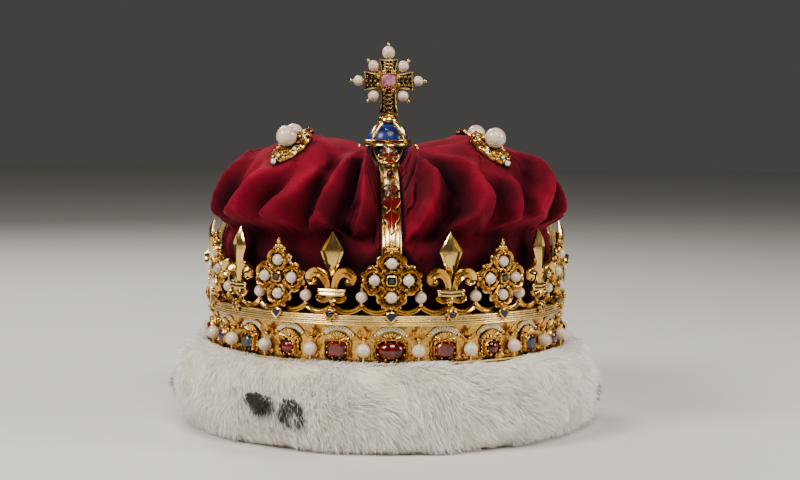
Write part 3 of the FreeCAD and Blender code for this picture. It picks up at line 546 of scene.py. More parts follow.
def grown(mesh, tree, **values):
    """The plain mesh that a geometry tree makes of a mesh."""
    holder = bpy.data.objects.new("holder", mesh)
    bpy.context.scene.collection.objects.link(holder)
    modifier = holder.modifiers.new("grow", "NODES")
    modifier.node_group = tree
    for item in tree.interface.items_tree:
        if item.in_out == "INPUT" and item.name in values:
            modifier[item.identifier] = values[item.name]
    holder.update_tag()
    graph = bpy.context.evaluated_depsgraph_get()
    result = bpy.data.meshes.new_from_object(holder.evaluated_get(graph))
    bpy.data.objects.remove(holder)
    return result


RING = ring_tree()
FUR = fur_tree()


def ring(maker, name, count, start, fill, body, slot, nodes=(), sharp=42):
    master = maker.mesh(name + "_one", fill)
    mesh = grown(master, RING, Count=count, Start=math.radians(start), Finish=fill)
    mesh.name = name
    return shown(mesh, name, body, slot, nodes, sharp)


# Circlet

def stone_shapes():
    """The stones by kind: their solid, and the width, height and squareness of their collets."""
    def put(radius=BAND_R):
        return wrap(radius)
    lift = Matrix.Translation((0, 0, 52))
    kinds = {
        "front": (dome_stone(14.6, 10.2, 0.8, 5.6), 14.6, 10.2, 2.6),
        "oblong": (step_cut(10.6, 8.4, 1.4, 0.8, 5.4), 10.6, 8.4, 4.5),
        "square": (step_cut(8.0, 8.0, 1.3, 0.8, 5.2), 8.0, 8.0, 4.5),
        "rounded": (dome_stone(8.4, 8.4, 0.8, 5.2), 8.4, 8.4, 2.0),
    }
    return {kind: (([lift @ p for p in shape[0]], shape[1]), w, d, power)
            for kind, (shape, w, d, power) in kinds.items()}


def collet(width, height, power):
    """A collet: rubbed-over wall, claws, a ring of petals and a scrolled leaf on each side."""
    made = Maker()
    lift = Vector((0, 0, 52))
    wall = [p + lift for p in oval(width + 1.1, height + 1.1, 28, power)]
    made.add(sweep(wall, [(-0.55, 0), (-0.5, 3.2), (0.1, 3.9), (0.5, 3.2), (0.7, 0)], loop=True))
    collar = [p + lift for p in oval(width + 2.6, height + 2.6, 32, power)]
    for index, place in enumerate(collar):
        if index % 2:
            continue
        made.add(bead(place + Vector((0, 0.9, 0)), 0.78, 5, 6))
    for k in range(8):
        spin = math.radians(22.5 + 45 * k)
        place = Vector((width / 2 * math.cos(spin), 3.6, height / 2 * math.sin(spin))) * 0.98 + lift
        made.add(bead(place, 0.6, 5, 6))
    for side in (-1, 1):
        for up in (-1, 1):
            x = side * (width / 2 + 0.6)
            line = curve([(x, 0.9, 52 + up * 0.6), (x + side * 1.2, 1.6, 52 + up * 2.4),
                          (x + side * 0.8, 1.8, 52 + up * 4.4), (x - side * 0.7, 1.4, 52 + up * 4.6),
                          (x - side * 0.6, 1.2, 52 + up * 3.4)], 4)
            made.add(sweep(line, round_bar(0.55, 6), [1.0 - 0.5 * i / len(line) for i in range(len(line))]))
    return made


def stone_order():
    order = ["front"]
    cycle = ["oblong", "rounded", "square", "rounded"]
    for index in range(1, STONES):
        nearest = min(index, STONES - index)
        order.append(cycle[(nearest - 1) % 4])
    return order


def stone_kind(index):
    nearest = min(index, STONES - index)
    if index == 0:
        return "garnets"
    return ["garnets", "garnets", "rock_crystals", "amethysts"][(nearest - 1) % 4]


def circlet_stones():
    shapes = stone_shapes()
    fills = {"garnets": (GARNET, "garnet"), "rock_crystals": (CRYSTAL, "dark_stone"),
             "amethysts": (AMETHYST, "amethyst")}
    makers = {kind: Maker() for kind in fills}
    collets = Maker()
    for index, kind in enumerate(stone_order()):
        shape, width, height, power = shapes[kind]
        angle = 360 / STONES * index
        makers[stone_kind(index)].add(shape, turn(flat(BAND_R), angle))
        holder = collet(width, height, power)
        collets.add((holder.points, holder.faces), turn(wrap(BAND_R), angle))
    for kind, (fill, slot) in fills.items():
        shown(makers[kind].mesh(kind + "_cut", fill), kind + "_cut", "frame", slot, [kind], 25)
    shown(collets.mesh("stone_collets", CHASED), "stone_collets", "frame", "gold", ["gem_collets"])


def pearl_ball(radius, seed, rows=10, columns=16):
    """A pearl, slightly out of round."""
    points, faces = bead((0, 0, 0), radius, rows, columns, 0.97)
    shift = Vector((seed * 3.1, seed * 1.7, seed * 0.9))
    return [p * (1 + 0.05 * noise.noise(p / radius * 0.9 + shift)) for p in points], faces


def pearls(name, places, node, body):
    made = Maker()
    for index, (place, radius) in enumerate(places):
        made.add(pearl_ball(radius, index + len(name)), lambda p, c=Vector(place): p + c)
    return shown(made.mesh(name, PEARL), name, body, "pearl", [node], 0)


def round_place(radius, degrees, z):
    angle = math.radians(degrees)
    return (radius * math.sin(angle), -radius * math.cos(angle), z)


def leaf(length, width, lift, curl=0.6, rows=7):
    """A ridged acanthus leaf from the origin upwards, its edge notched and its tip rolled outwards."""
    points = []
    faces = []
    columns = (-1.0, -0.6, -0.25, 0.0, 0.25, 0.6, 1.0)
    for row in range(rows + 1):
        t = row / rows
        half = width / 2 * math.sin(math.pi * min(1.0, 0.12 + 0.88 * t)) ** 0.7 * (1 - 0.18 * (row % 2))
        out = lift * math.sin(t * math.pi * 0.5) + curl * t ** 3
        z = length * (t - 0.1 * t ** 4)
        for c in columns:
            ridge = 0.45 * (1 - abs(c)) if c else 0.75
            points.append(Vector((half * c, out + ridge * 0.8 + 0.5, z)))
    count = len(columns)
    front = len(points)
    points += [p - Vector((0, 0.8, 0)) for p in points]
    for row in range(rows):
        for k in range(count - 1):
            a = row * count + k
            faces.append((a, a + 1, a + count + 1, a + count))
            faces.append((front + a + count, front + a + count + 1, front + a + 1, front + a))
        for k in (0, count - 1):
            a = row * count + k
            faces.append((a, a + count, front + a + count, front + a))
    top = rows * count
    for k in range(count - 1):
        faces.append((top + k, top + k + 1, front + top + k + 1, front + top + k))
        faces.append((k, k + 1, front + k + 1, front + k))
    return points, faces


def spray():
    """A tuft of three leaves with a curl to each side, over a circlet pearl."""
    made = Maker()
    for tilt, size in ((-38, 0.85), (38, 0.85), (0, 1.0)):
        turned = Matrix.Rotation(math.radians(tilt), 3, "Y")
        made.add(leaf(6.2 * size, 3.2 * size, 2.4 * size, 1.0),
                 lambda p, m=turned, s=size: m @ p + Vector((0, 0.4 if s < 1 else 1.0, 58.3)))
    for side in (-1, 1):
        line = curve([(0, 1.4, 57.6), (side * 2.0, 1.8, 57.2), (side * 3.6, 2.0, 58.6), (side * 3.4, 2.0, 60.2),
                      (side * 2.2, 1.8, 60.0)], 4)
        made.add(sweep(line, round_bar(0.6, 6), [1.0 - 0.5 * i / len(line) for i in range(len(line))]))
    made.add(bead((0, 2.6, 57.6), 1.0))
    for side in (-1, 1):
        line = curve([(side * 0.4, 0.6, 47.2), (side * 2.2, 1.4, 47.4), (side * 3.0, 1.6, 48.8),
                      (side * 2.0, 1.4, 49.4)], 4)
        made.add(sweep(line, round_bar(0.5, 6)))
    return made


def canopy_line(radius, low=60.2, steps=22):
    start = math.asin((low - 54.0) / radius)
    return [Vector((radius * math.cos(start + (math.pi - 2 * start) * k / steps), 0.4,
                    54.0 + radius * math.sin(start + (math.pi - 2 * start) * k / steps)))
            for k in range(steps + 1)]


def circlet():
    circlet_stones()
    step = 360 / STONES
    pearls("circlet_pearl_row", [(round_place(100.8, step * (k + 0.5), 52), 3.7) for k in range(STONES)],
           "circlet_pearls", "frame")
    tuft = spray()
    made = Maker().add((tuft.points, tuft.faces), wrap(BAND_R))
    ring(made, "acanthus_sprays", STONES, step / 2, CHASED, "frame", "gold", ["leaf_sprays"])
    rims = Maker()
    strip = Maker()
    ticks = Maker()
    for radius, size in ((8.4, 0.5), (10.3, 0.55)):
        rims.add(sweep(canopy_line(radius), round_bar(size, 6)), wrap(BAND_R))
    shell = [Vector((p.x, 0, p.z)) for p in canopy_line(8.2, 56.5)]
    for k in range(0, len(shell) - 1, 2):
        middle = shell[k] * 0.86 + Vector((0, 0, 54.0)) * 0.14
        rims.add(sweep([Vector((0, 0.3, 56.8)), middle + Vector((0, 0.9, 0))], half_round(1.5, 0.8),
                       [0.35, 1.0]), wrap(BAND_R))
    for side in (-1, 1):
        rims.add(bead((side * 8.2, 1.0, 59.4), 1.05), wrap(BAND_R))
    rims.add(bead((0, 1.2, 64.2), 0.9), wrap(BAND_R))
    strip.add(sweep(canopy_line(9.35), [(-0.75, 0), (-0.75, 0.75), (0, 0.95), (0.75, 0.75), (0.75, 0)]),
              wrap(BAND_R))
    line = canopy_line(9.35, steps=44)
    for k in range(2, 43, 4):
        ticks.add(sweep([line[k], line[k + 1]], [(-0.62, 0.7), (-0.62, 0.98), (0.62, 0.98), (0.62, 0.7)]),
                  wrap(BAND_R))
    ring(rims, "canopy_rims", STONES, 0, GOLD, "frame", "gold")
    ring(strip, "canopy_enamel", STONES, 0, WHITE, "frame", "white_enamel", ["enamel_arcs"])
    ring(ticks, "canopy_ticks", STONES, 0, TICK, "frame", "black_enamel")


def moulding():
    section = [(94.2, 64.7)]
    reeds = ((0.0, 1.1, 0.5), (1.1, 1.0, 0.7), (2.1, 1.3, 1.0), (3.4, 1.0, 0.7), (4.4, 1.1, 0.5))
    for low, tall, out in reeds:
        for k in range(6):
            spin = math.pi * k / 6
            section.append((100.1 + out * math.sin(spin), 64.7 + low + tall * (1 - math.cos(spin)) / 2))
    section += [(100.1, 70.2), (94.2, 70.2)]
    made = Maker().add(lathe(section, 264))
    shown(made.mesh("reeded_moulding", PALE), "reeded_moulding", "frame", "gold", ["ribbed_moulding"], 60)


def gallery():
    """Forty hanging scallops of channelled strip, with a knop at every peak."""
    half = math.pi * 97.4 / 40
    line = []
    for k in range(13):
        x = -half + 2 * half * k / 12
        line.append(Vector((x, 0, 71.6 + 3.4 * abs(x / half) ** 2.2)))
    made = Maker().add(sweep(line, [(s, o - 0.4) for s, o in channel(3.0, 1.9)]), wrap(96.9))
    made.add(bead((half, 1.0, 75.6), 1.15), wrap(96.9))
    ring(made, "scalloped_gallery", 40, 4.5, GOLD, "frame", "gold", ["scallop_gallery"])


# Cresting

def lily():
    made = Maker()
    rows = ((79.0, 1.4), (84.0, 1.3), (89.0, 1.8), (93.5, 2.7), (98.5, 4.5), (102.6, 6.1), (104.2, 6.0),
            (108.0, 3.6), (113.3, 0.15))
    columns = ((-1.0, 0.9), (-0.8, 1.5), (-0.7, 0.7), (0.0, 2.5), (0.7, 0.7), (0.8, 1.5), (1.0, 0.9))
    points = []
    for z, half in rows:
        lean = 0.6 * math.sin((z - 79) / 34.3 * math.pi)
        points += [Vector((half * c, out * min(1.0, half / 2.2) + lean, z)) for c, out in columns]
    front = len(points)
    points += [Vector((p.x, -0.2, p.z)) for p in points]
    faces = []
    count = len(columns)
    for row in range(len(rows) - 1):
        for k in range(count - 1):
            a = row * count + k
            faces += [(a, a + 1, a + count + 1, a + count), (front + a + count, front + a + count + 1,
                                                              front + a + 1, front + a)]
        for k in (0, count - 1):
            a = row * count + k
            faces.append((a, a + count, front + a + count, front + a))
    made.add((points, faces))
    for side in (-1, 1):
        petal = curve([(side * 1.6, 0.2, 82.8), (side * 2.2, 0.5, 86.6), (side * 4.2, 1.0, 90.6),
                       (side * 7.4, 1.5, 92.5), (side * 10.4, 1.6, 91.2), (side * 11.4, 1.6, 88.6),
                       (side * 10.2, 1.7, 86.6), (side * 8.4, 1.8, 87.2), (side * 8.4, 1.9, 88.8)], 5)
        taper = [0.72 + 0.5 * math.sin(min(1.0, i / len(petal) * 1.3) * math.pi) ** 1.5
                 - 0.35 * (i / len(petal)) ** 3 for i in range(len(petal))]
        made.add(sweep(petal, channel(4.5, 3.1), taper))
        made.add(bead((side * 8.9, 2.9, 88.0), 1.25, 6, 10))
        foot = curve([(side * 0.8, 0.4, 80.2), (side * 2.0, 0.8, 78.4), (side * 4.6, 1.1, 77.6),
                      (side * 6.9, 1.2, 78.6), (side * 6.7, 1.3, 79.8), (side * 5.4, 1.4, 79.4)], 4)
        made.add(sweep(foot, channel(3.3, 2.4), [1.0 - 0.35 * i / len(foot) for i in range(len(foot))]))
    for z, half in ((80.7, 6.3), (82.6, 6.6)):
        bar = [Vector((x, 1.9, z + 0.2 * abs(x) / half)) for x in (-half, -half * 0.6, 0, half * 0.6, half)]
        made.add(sweep(bar, round_bar(1.15, 8), [0.9, 0.9, 1.15, 0.9, 0.9]))
        for side in (-1, 1):
            made.add(bead((side * half, 1.9, z + 0.2), 1.15))
    made.add(sweep(curve([(0, 0.6, 80.0), (0, 1.4, 77.6), (0, 0.9, 75.4)], 4), half_round(3.0, 1.6),
                   [1.0] * 5 + [0.9, 0.75, 0.5, 0.3]))
    return made


def cross_flower():
    """A flower cross: four scrolled petals round a boss, loops between them and a bud on top."""
    made = Maker()
    centre = Vector((0, 0, 88.5))
    for quarter in range(4):
        m = Matrix.Rotation(math.radians(90 * quarter), 3, "Y")
        for side in (-1, 1):
            strap = curve([(side * 1.2, 0.6, 2.6), (side * 3.0, 0.8, 4.6), (side * 4.9, 1.0, 7.2),
                           (side * 5.4, 1.1, 10.2), (side * 4.0, 1.2, 12.6), (side * 1.6, 1.3, 13.6),
                           (side * 0.4, 1.4, 12.8)], 4)
            size = [0.8 + 0.35 * math.sin(i / len(strap) * math.pi) for i in range(len(strap))]
            made.add(sweep(strap, channel(2.1, 1.8), size), lambda p, m=m: m @ p + centre)
            curl = curve([(side * 4.6, 0.4, 11.6), (side * 6.6, 0.9, 11.4), (side * 7.2, 1.1, 9.6),
                          (side * 6.2, 1.3, 8.9), (side * 5.6, 1.4, 9.8)], 4)
            made.add(sweep(curl, round_bar(0.85, 7), [1.1 - 0.5 * i / len(curl) for i in range(len(curl))]),
                     lambda p, m=m: m @ p + centre)
            tip = curve([(side * 2.2, 0.4, 13.2), (side * 3.4, 0.8, 14.6), (side * 2.4, 1.0, 15.2),
                         (side * 1.4, 1.0, 14.4)], 4)
            made.add(sweep(tip, round_bar(0.75, 6)), lambda p, m=m: m @ p + centre)
        made.add(bead((0, 1.4, 14.2), 1.2), lambda p, m=m: m @ p + centre)
        made.add(bead((0, 1.2, 4.7), 0.95), lambda p, m=m: m @ p + centre)
        for k in range(12):
            spin = math.radians(30 * k + 15)
            spoke = [Vector((reach * math.cos(spin), out, 8.8 + reach * math.sin(spin)))
                     for reach, out in ((2.4, 0.1), (3.9, 0.9), (5.3, 0.5))]
            made.add(sweep(spoke, round_bar(0.36, 5)), lambda p, m=m: m @ p + centre)
            grain = Vector((4.9 * math.cos(spin), 1.3 + 0.5 * (k % 2), 8.8 + 4.9 * math.sin(spin)))
            made.add(bead(grain, 0.62 + 0.18 * (k % 3), 4, 6), lambda p, m=m: m @ p + centre)
        for x, z, size in ((4.4, 4.2, 0.9), (8.6, 4.4, 0.85), (4.6, 8.8, 0.85), (6.9, 8.9, 1.0), (9.0, 6.9, 0.9),
                           (6.0, 3.6, 0.7), (3.4, 6.2, 0.7), (10.2, 5.4, 0.7)):
            made.add(bead((x, 1.5, z), size, 5, 7), lambda p, m=m: m @ p + centre)
        loop = [Vector((p.x + 5.7, 0.8, p.z + 5.7)) for p in oval(4.2, 4.2, 14)]
        made.add(sweep(loop, round_bar(0.75, 6), loop=True), lambda p, m=m: m @ p + centre)
        made.add(bead((7.5, 1.2, 7.5), 0.95), lambda p, m=m: m @ p + centre)
        backing = [Vector((p.x, -0.2, p.z + 8.8)) for p in oval(9.8, 9.8, 20)]
        made.add(sweep(backing, half_round(2.4, 0.9), loop=True), lambda p, m=m: m @ p + centre)
    boss = [p + centre + Vector((0, 1.0, 0)) for p in oval(4.6, 4.6, 20, 4.5)]
    made.add(sweep(boss, [(-0.5, 0), (-0.4, 2.6), (0.2, 3.0), (0.8, 2.2), (1.1, 0)], loop=True))
    disc = [p + centre for p in oval(9.0, 9.0, 16)]
    made.add(sweep(disc, half_round(2.6, 1.6), loop=True))
    for x, z, size in ((-1.6, 104.3, 1.5), (1.6, 104.3, 1.5), (0, 106.9, 1.5), (0, 104.6, 1.4), (0, 108.4, 0.8)):
        made.add(bead((x, 1.2, z), size, 6, 10))
    return made


def cresting():
    flower = cross_flower()
    fleur = lily()
    for index in range(CREST):
        made = Maker().add((fleur.points, fleur.faces), turn(wrap(GALLERY_R), 36 * index + 18))
        name = f"lily_{index + 1:02d}"
        shown(made.mesh(name, GOLD), name, "frame", "gold", [f"fleur_de_lis_{index + 1:02d}"])
        made = Maker().add((flower.points, flower.faces), turn(wrap(GALLERY_R), 36 * index))
        name = f"cross_flower_{index + 1:02d}"
        shown(made.mesh(name, CHASED), name, "frame", "gold", [f"flower_cross_{index + 1:02d}"])
    pearls("cresting_pearl_row", [(round_place(97.6, 18 * k + 9, 79.5), 3.15) for k in range(20)],
           "cresting_pearls", "frame")
    spots = []
    for index in range(CREST):
        spin = Matrix.Rotation(math.radians(36 * index), 3, "Z")
        for x, z in ((8.8, 0), (-8.8, 0), (0, 8.8), (0, -8.8)):
            spots.append((spin @ Vector((x, -GALLERY_R - 2.0, 88.5 + z)), 3.0))
    pearls("flower_pearl_set", spots, "flower_pearls", "frame")
    caps = Maker()
    for x, z in ((8.8, 0), (-8.8, 0), (0, 8.8), (0, -8.8)):
        for way in (-1, 1):
            shift = (0, 0, way * 3.2) if x else (way * 3.2, 0, 0)
            caps.add(bead((x + shift[0], 2.0, 88.5 + z + shift[2]), 0.8), wrap(GALLERY_R))
    ring(caps, "flower_pin_caps", CREST, 0, GOLD, "frame", "gold")
    knobs = Maker()
    knobs.add(bead((0, 0, 83.9), 0.85)).add(bead((0, 0, 82.8), 1.0, squash=0.6))
    knobs.add(bead((0, 0, 76.3), 1.1, squash=0.7))
    placed = Maker().add((knobs.points, knobs.faces), wrap(97.6))
    ring(placed, "cresting_pin_knobs", 20, 9, GOLD, "frame", "gold")
    studs()


def studs():
    seat = Maker()
    wall = [p + Vector((0, 0, 70.8)) for p in oval(4.6, 4.6, 18)]
    seat.add(sweep(wall, [(-0.3, 0), (-0.3, 1.6), (0.3, 2.0), (0.9, 1.2), (1.2, 0)], loop=True),
             wrap(101.0))
    for k in range(8):
        spin = math.radians(45 * k)
        seat.add(bead((3.1 * math.cos(spin), 0.8, 70.8 + 3.1 * math.sin(spin)), 0.75), wrap(101.0))
    ring(seat, "round_studs", CREST, 18, CHASED, "frame", "gold", ["base_studs"])
    point = Maker()
    corners = [(0, 66.8), (2.9, 69.8), (2.2, 71.6), (0, 72.2), (-2.2, 71.6), (-2.9, 69.8)]
    edge = [Vector((x, 0, z)) for x, z in corners]
    point.add(sweep(edge, [(-0.35, 0), (-0.35, 1.3), (0.2, 1.6), (0.6, 1.1), (0.7, 0)], loop=True), wrap(101.0))
    ring(point, "lozenge_frames", CREST, 0, GOLD, "frame", "gold")
    glaze = Maker().add(plaque(corners, 0.3, 1.2), wrap(101.0))
    ring(glaze, "lozenge_glaze", CREST, 0, NAVY, "frame", "blue_enamel", ["lozenge_enamels"])
    gems = Maker()
    for index in range(CREST):
        stud_stone = dome_stone(4.0, 4.0, 0.5, 2.4, 4, 12)
        lifted = ([p + Vector((0, 0, 70.8)) for p in stud_stone[0]], stud_stone[1])
        gems.add(lifted, turn(wrap(101.0), 36 * index + 18))
        boss_stone = step_cut(3.6, 3.6, 0.4, 1.4, 4.4)
        lifted = ([p + Vector((0, 0, 88.5)) for p in boss_stone[0]], boss_stone[1])
        gems.add(lifted, turn(wrap(GALLERY_R), 36 * index))
    shown(gems.mesh("cresting_stones", CRYSTAL), "cresting_stones", "frame", "dark_stone", ["cresting_gems"], 25)


# Arches

def arch_place(along, lift=0.0):
    """A point on the outer face of the front arch: along runs from 0 at the foot to 1 at the hub."""
    straight = 30.3
    bend = 125.0
    run = along * (straight + bend)
    if run < straight:
        return Vector((0, -(96.3 + lift), 70.2 + run)), Vector((0, -1, 0))
    tilt = (run - straight) / bend * math.acos(8.0 / 96.3)
    place = Vector((0, -(96.3 + lift) * math.cos(tilt), 100.5 + (44.0 + lift) * math.sin(tilt)))
    normal = Vector((0, -math.cos(tilt) / 96.3, math.sin(tilt) / 44.0)).normalized()
    return place, normal


def arch():
    section = [(-5.1, -1.9), (-5.1, 0.1), (-4.6, 0.5), (-4.0, 0.1), (-3.5, -0.4), (-2.9, -0.5), (-2.4, 0.0),
               (-1.0, 0.15), (0, 0.2), (1.0, 0.15), (2.4, 0.0), (2.9, -0.5), (3.5, -0.4), (4.0, 0.1), (4.6, 0.5),
               (5.1, 0.1), (5.1, -1.9)]
    points = []
    faces = []
    steps = 72
    for k in range(steps + 1):
        place, normal = arch_place(k / steps)
        points += [place + Vector((x, 0, 0)) + normal * o for x, o in section]
    count = len(section)
    for k in range(steps):
        for i in range(count):
            j = (i + 1) % count
            faces.append((k * count + i, k * count + j, (k + 1) * count + j, (k + 1) * count + i))
    faces.append(tuple(range(count)))
    faces.append(tuple(range(steps * count, (steps + 1) * count)))
    return points, faces


OAK = ((0.0, 0.10), (0.05, 0.22), (0.12, 0.62), (0.17, 0.78), (0.22, 0.6), (0.27, 0.34), (0.33, 0.5),
       (0.40, 0.92), (0.46, 1.0), (0.52, 0.8), (0.57, 0.42), (0.63, 0.5), (0.69, 0.8), (0.75, 0.78),
       (0.80, 0.5), (0.85, 0.34), (0.90, 0.44), (0.95, 0.3), (1.0, 0.04))


def oak_leaf(put, enamels, edges, width):
    """A lobed leaf: domed enamel, gold edge wire, midrib and side veins."""
    columns = (-1.0, -0.8, -0.5, -0.2, 0.0, 0.2, 0.5, 0.8, 1.0)
    points = []
    faces = []
    for t, half in OAK:
        for c in columns:
            swell = 0.55 + 0.75 * (1 - c * c) - 0.25 * (c == 0)
            points.append(put(c * half * width / 2, t, swell))
    base = len(points)
    for t, half in OAK:
        points += [put(c * half * width / 2, t, 0.1) for c in columns]
    count = len(columns)
    for row in range(len(OAK) - 1):
        for k in range(count - 1):
            a = row * count + k
            faces.append((a, a + 1, a + count + 1, a + count))
        for k in (0, count - 1):
            a = row * count + k
            faces.append((a, a + count, base + a + count, base + a))
    enamels.add((points, faces))
    for side in (-1, 1):
        line = [put(side * half * width / 2, t, 0.75) for t, half in OAK]
        edges.add(sweep(line, round_bar(0.42, 6)))
    edges.add(sweep([put(0, k / 12, 1.5) for k in range(13)], round_bar(0.5, 6),
                    [1.2 - 0.6 * k / 12 for k in range(13)]))
    for t, half in ((0.08, 0.7), (0.32, 0.9), (0.6, 0.75)):
        for side in (-1, 1):
            vein = [put(side * half * width / 2 * s, t + 0.1 * s, 1.35 - 0.5 * s) for s in (0.0, 0.35, 0.7)]
            edges.add(sweep(vein, round_bar(0.26, 5)))


def oak_leaves():
    enamels = Maker()
    edges = Maker()

    def on_arch(start, end):
        def put(x, t, out):
            place, normal = arch_place(start + (end - start) * t)
            return place + Vector((x, 0, 0)) + normal * (out + 0.15)
        return put

    oak_leaf(on_arch(0.72, 0.335), enamels, edges, 10.2)
    oak_leaf(on_arch(0.27, 0.13), enamels, edges, 9.0)

    def standing(x, t, out):
        lean = 15.2 + 7.5 * (1 - t) ** 1.6
        return Vector((x, -(lean + out), 145.6 + 10.4 * t))

    oak_leaf(standing, enamels, edges, 11.6)
    place, normal = arch_place(0.775)
    acorn = bead((0, 0, 0), 1.9, 7, 12, 1.25)
    enamels.add(acorn, lambda p: p + place + normal * 1.6)
    cup = curve([place + normal * 0.6 + Vector((0, 0, 2.2)), place + normal * 1.6 + Vector((0, 1.4, 2.4))], 3)
    edges.add(sweep(cup, round_bar(1.7, 10), [1.0, 1.0, 0.9, 0.6]))
    for side in (-1, 1):
        edges.add(bead(place + Vector((side * 2.6, 0, -0.6)) + normal * 0.9, 0.9))
    ring(enamels, "oak_leaf_enamel", 4, 0, RED, "frame", "red_enamel", ["oak_leaves"])
    ring(edges, "oak_leaf_gold", 4, 0, GOLD, "frame", "gold")


def arches():
    shape = arch()
    for index, side in enumerate(("front", "right", "back", "left")):
        spin = Matrix.Rotation(math.radians(90 * index), 3, "Z")
        made = Maker().add(shape, lambda p, m=spin: m @ p)
        name = f"arch_strap_{side}"
        shown(made.mesh(name, PALE), name, "frame", "gold", [f"arch_{side}"], 50)
    oak_leaves()


# Monde

def star(radius, points=6):
    """A small flat gold star."""
    outline = []
    for k in range(points * 2):
        reach = radius if k % 2 == 0 else radius * 0.36
        spin = math.pi * k / points
        outline.append((reach * math.cos(spin), reach * math.sin(spin)))
    return plaque(outline, -0.25, 0.16, 0.05)


def monde():
    centre = Vector((0, 0, 157.1))
    globe = Maker().add(bead(centre, 12.15, 40, 72))
    shown(globe.mesh("blue_globe", BLUE), "blue_globe", "frame", "blue_enamel", ["monde_globe"], 0)
    stars = Maker()
    turnings = math.pi * (3 - math.sqrt(5))
    for k in range(90):
        height = 1 - 2 * (k + 0.5) / 90
        reach = math.sqrt(1 - height * height)
        way = Vector((reach * math.cos(turnings * k), reach * math.sin(turnings * k), height))
        if abs(height) > 0.9:
            continue
        aim = way.to_track_quat("Y", "Z").to_matrix()
        stars.add(star(0.45), lambda p, m=aim, w=way: m @ p + centre + w * 12.15)
    shown(stars.mesh("globe_stars", GOLD), "globe_stars", "frame", "gold", (), 0)
    bands = Maker()
    z = centre.z
    bands.add(lathe([(12.0, z - 1.9), (13.2, z - 1.9), (13.9, z - 1.5), (13.4, z - 1.0), (13.3, z),
                     (13.4, z + 1.0), (13.9, z + 1.5), (13.2, z + 2.0), (12.0, z + 2.0)], 96))
    for quarter in range(4):
        spin = math.radians(45 + 90 * quarter)
        away = Vector((math.sin(spin), -math.cos(spin), 0))
        line = [centre + 12.1 * (away * math.cos(tilt) + Vector((0, 0, math.sin(tilt))))
                for tilt in [math.radians(-62 + 128 * k / 24) for k in range(25)]]
        bands.add(sweep(line, channel(3.0, 1.3), out=lambda p: (p - centre).normalized()))
    for k in range(48):
        spin = 2 * math.pi * k / 48
        bands.add(bead((13.35 * math.sin(spin), -13.35 * math.cos(spin), z), 0.5, 4, 6))
    shown(bands.mesh("globe_bands", GOLD), "globe_bands", "frame", "gold", ["monde_bands"])
    cap = [(1.68, 169.4), (1.68, 173.2), (2.9, 173.1), (4.4, 172.4), (5.5, 171.3), (6.0, 169.9), (6.0, 168.9),
           (5.5, 168.4), (4.8, 168.5)]
    made = Maker().add(lathe(cap, 48))
    shown(made.mesh("globe_cap", GOLD), "globe_cap", "frame", "gold", ["monde_cap"], 50)


# Cross

def cross_line(grow=0.0):
    """The cross's outline: a long foot and three shorter arms, all widening with a gentle curve."""
    level = 192.3
    root = 3.9 + grow
    end = 5.5 + grow
    side = 13.9 + grow
    top = 204.5 + grow
    foot = 173.35 - grow
    half = [(0, foot), (end, foot), (end - 0.9, foot + 3.5), (root + 0.3, foot + 8), (root, level - root),
            (side * 0.62, level - root - 0.35), (side * 0.85, level - root - 0.9), (side, level - end),
            (side - 0.5, level), (side, level + end), (side * 0.85, level + root + 0.9),
            (side * 0.62, level + root + 0.35), (root, level + root), (root + 0.35, level + 8.2),
            (root + 0.9, level + 10.2), (end, top), (0, top - 0.4)]
    return half + [(-x, z) for x, z in reversed(half) if x > 0]


def cross_place(p):
    return Vector((p.x, -p.y, p.z))


def scrollwork(made, start, way, length, width):
    """A running scroll of fine gold along one arm."""
    side = Vector((way.z, 0, -way.x))
    count = max(3, int(length / 2.1))
    step = length / count
    for k, flip in [(k, flip) for k in range(count) for flip in (-1, 1)]:
        t0 = start + way * (step * k)
        line = curve([t0, t0 + way * step * 0.3 + side * flip * width * 0.34,
                      t0 + way * step * 0.8 + side * flip * width * 0.3, t0 + way * step * 0.8,
                      t0 + way * step * 0.45 + side * flip * width * 0.08], 4)
        made.add(sweep(line, round_bar(0.2, 5)), cross_place)
        made.add(bead(t0 + way * step * 0.5 - side * flip * width * 0.26, 0.42, 4, 6), cross_place)


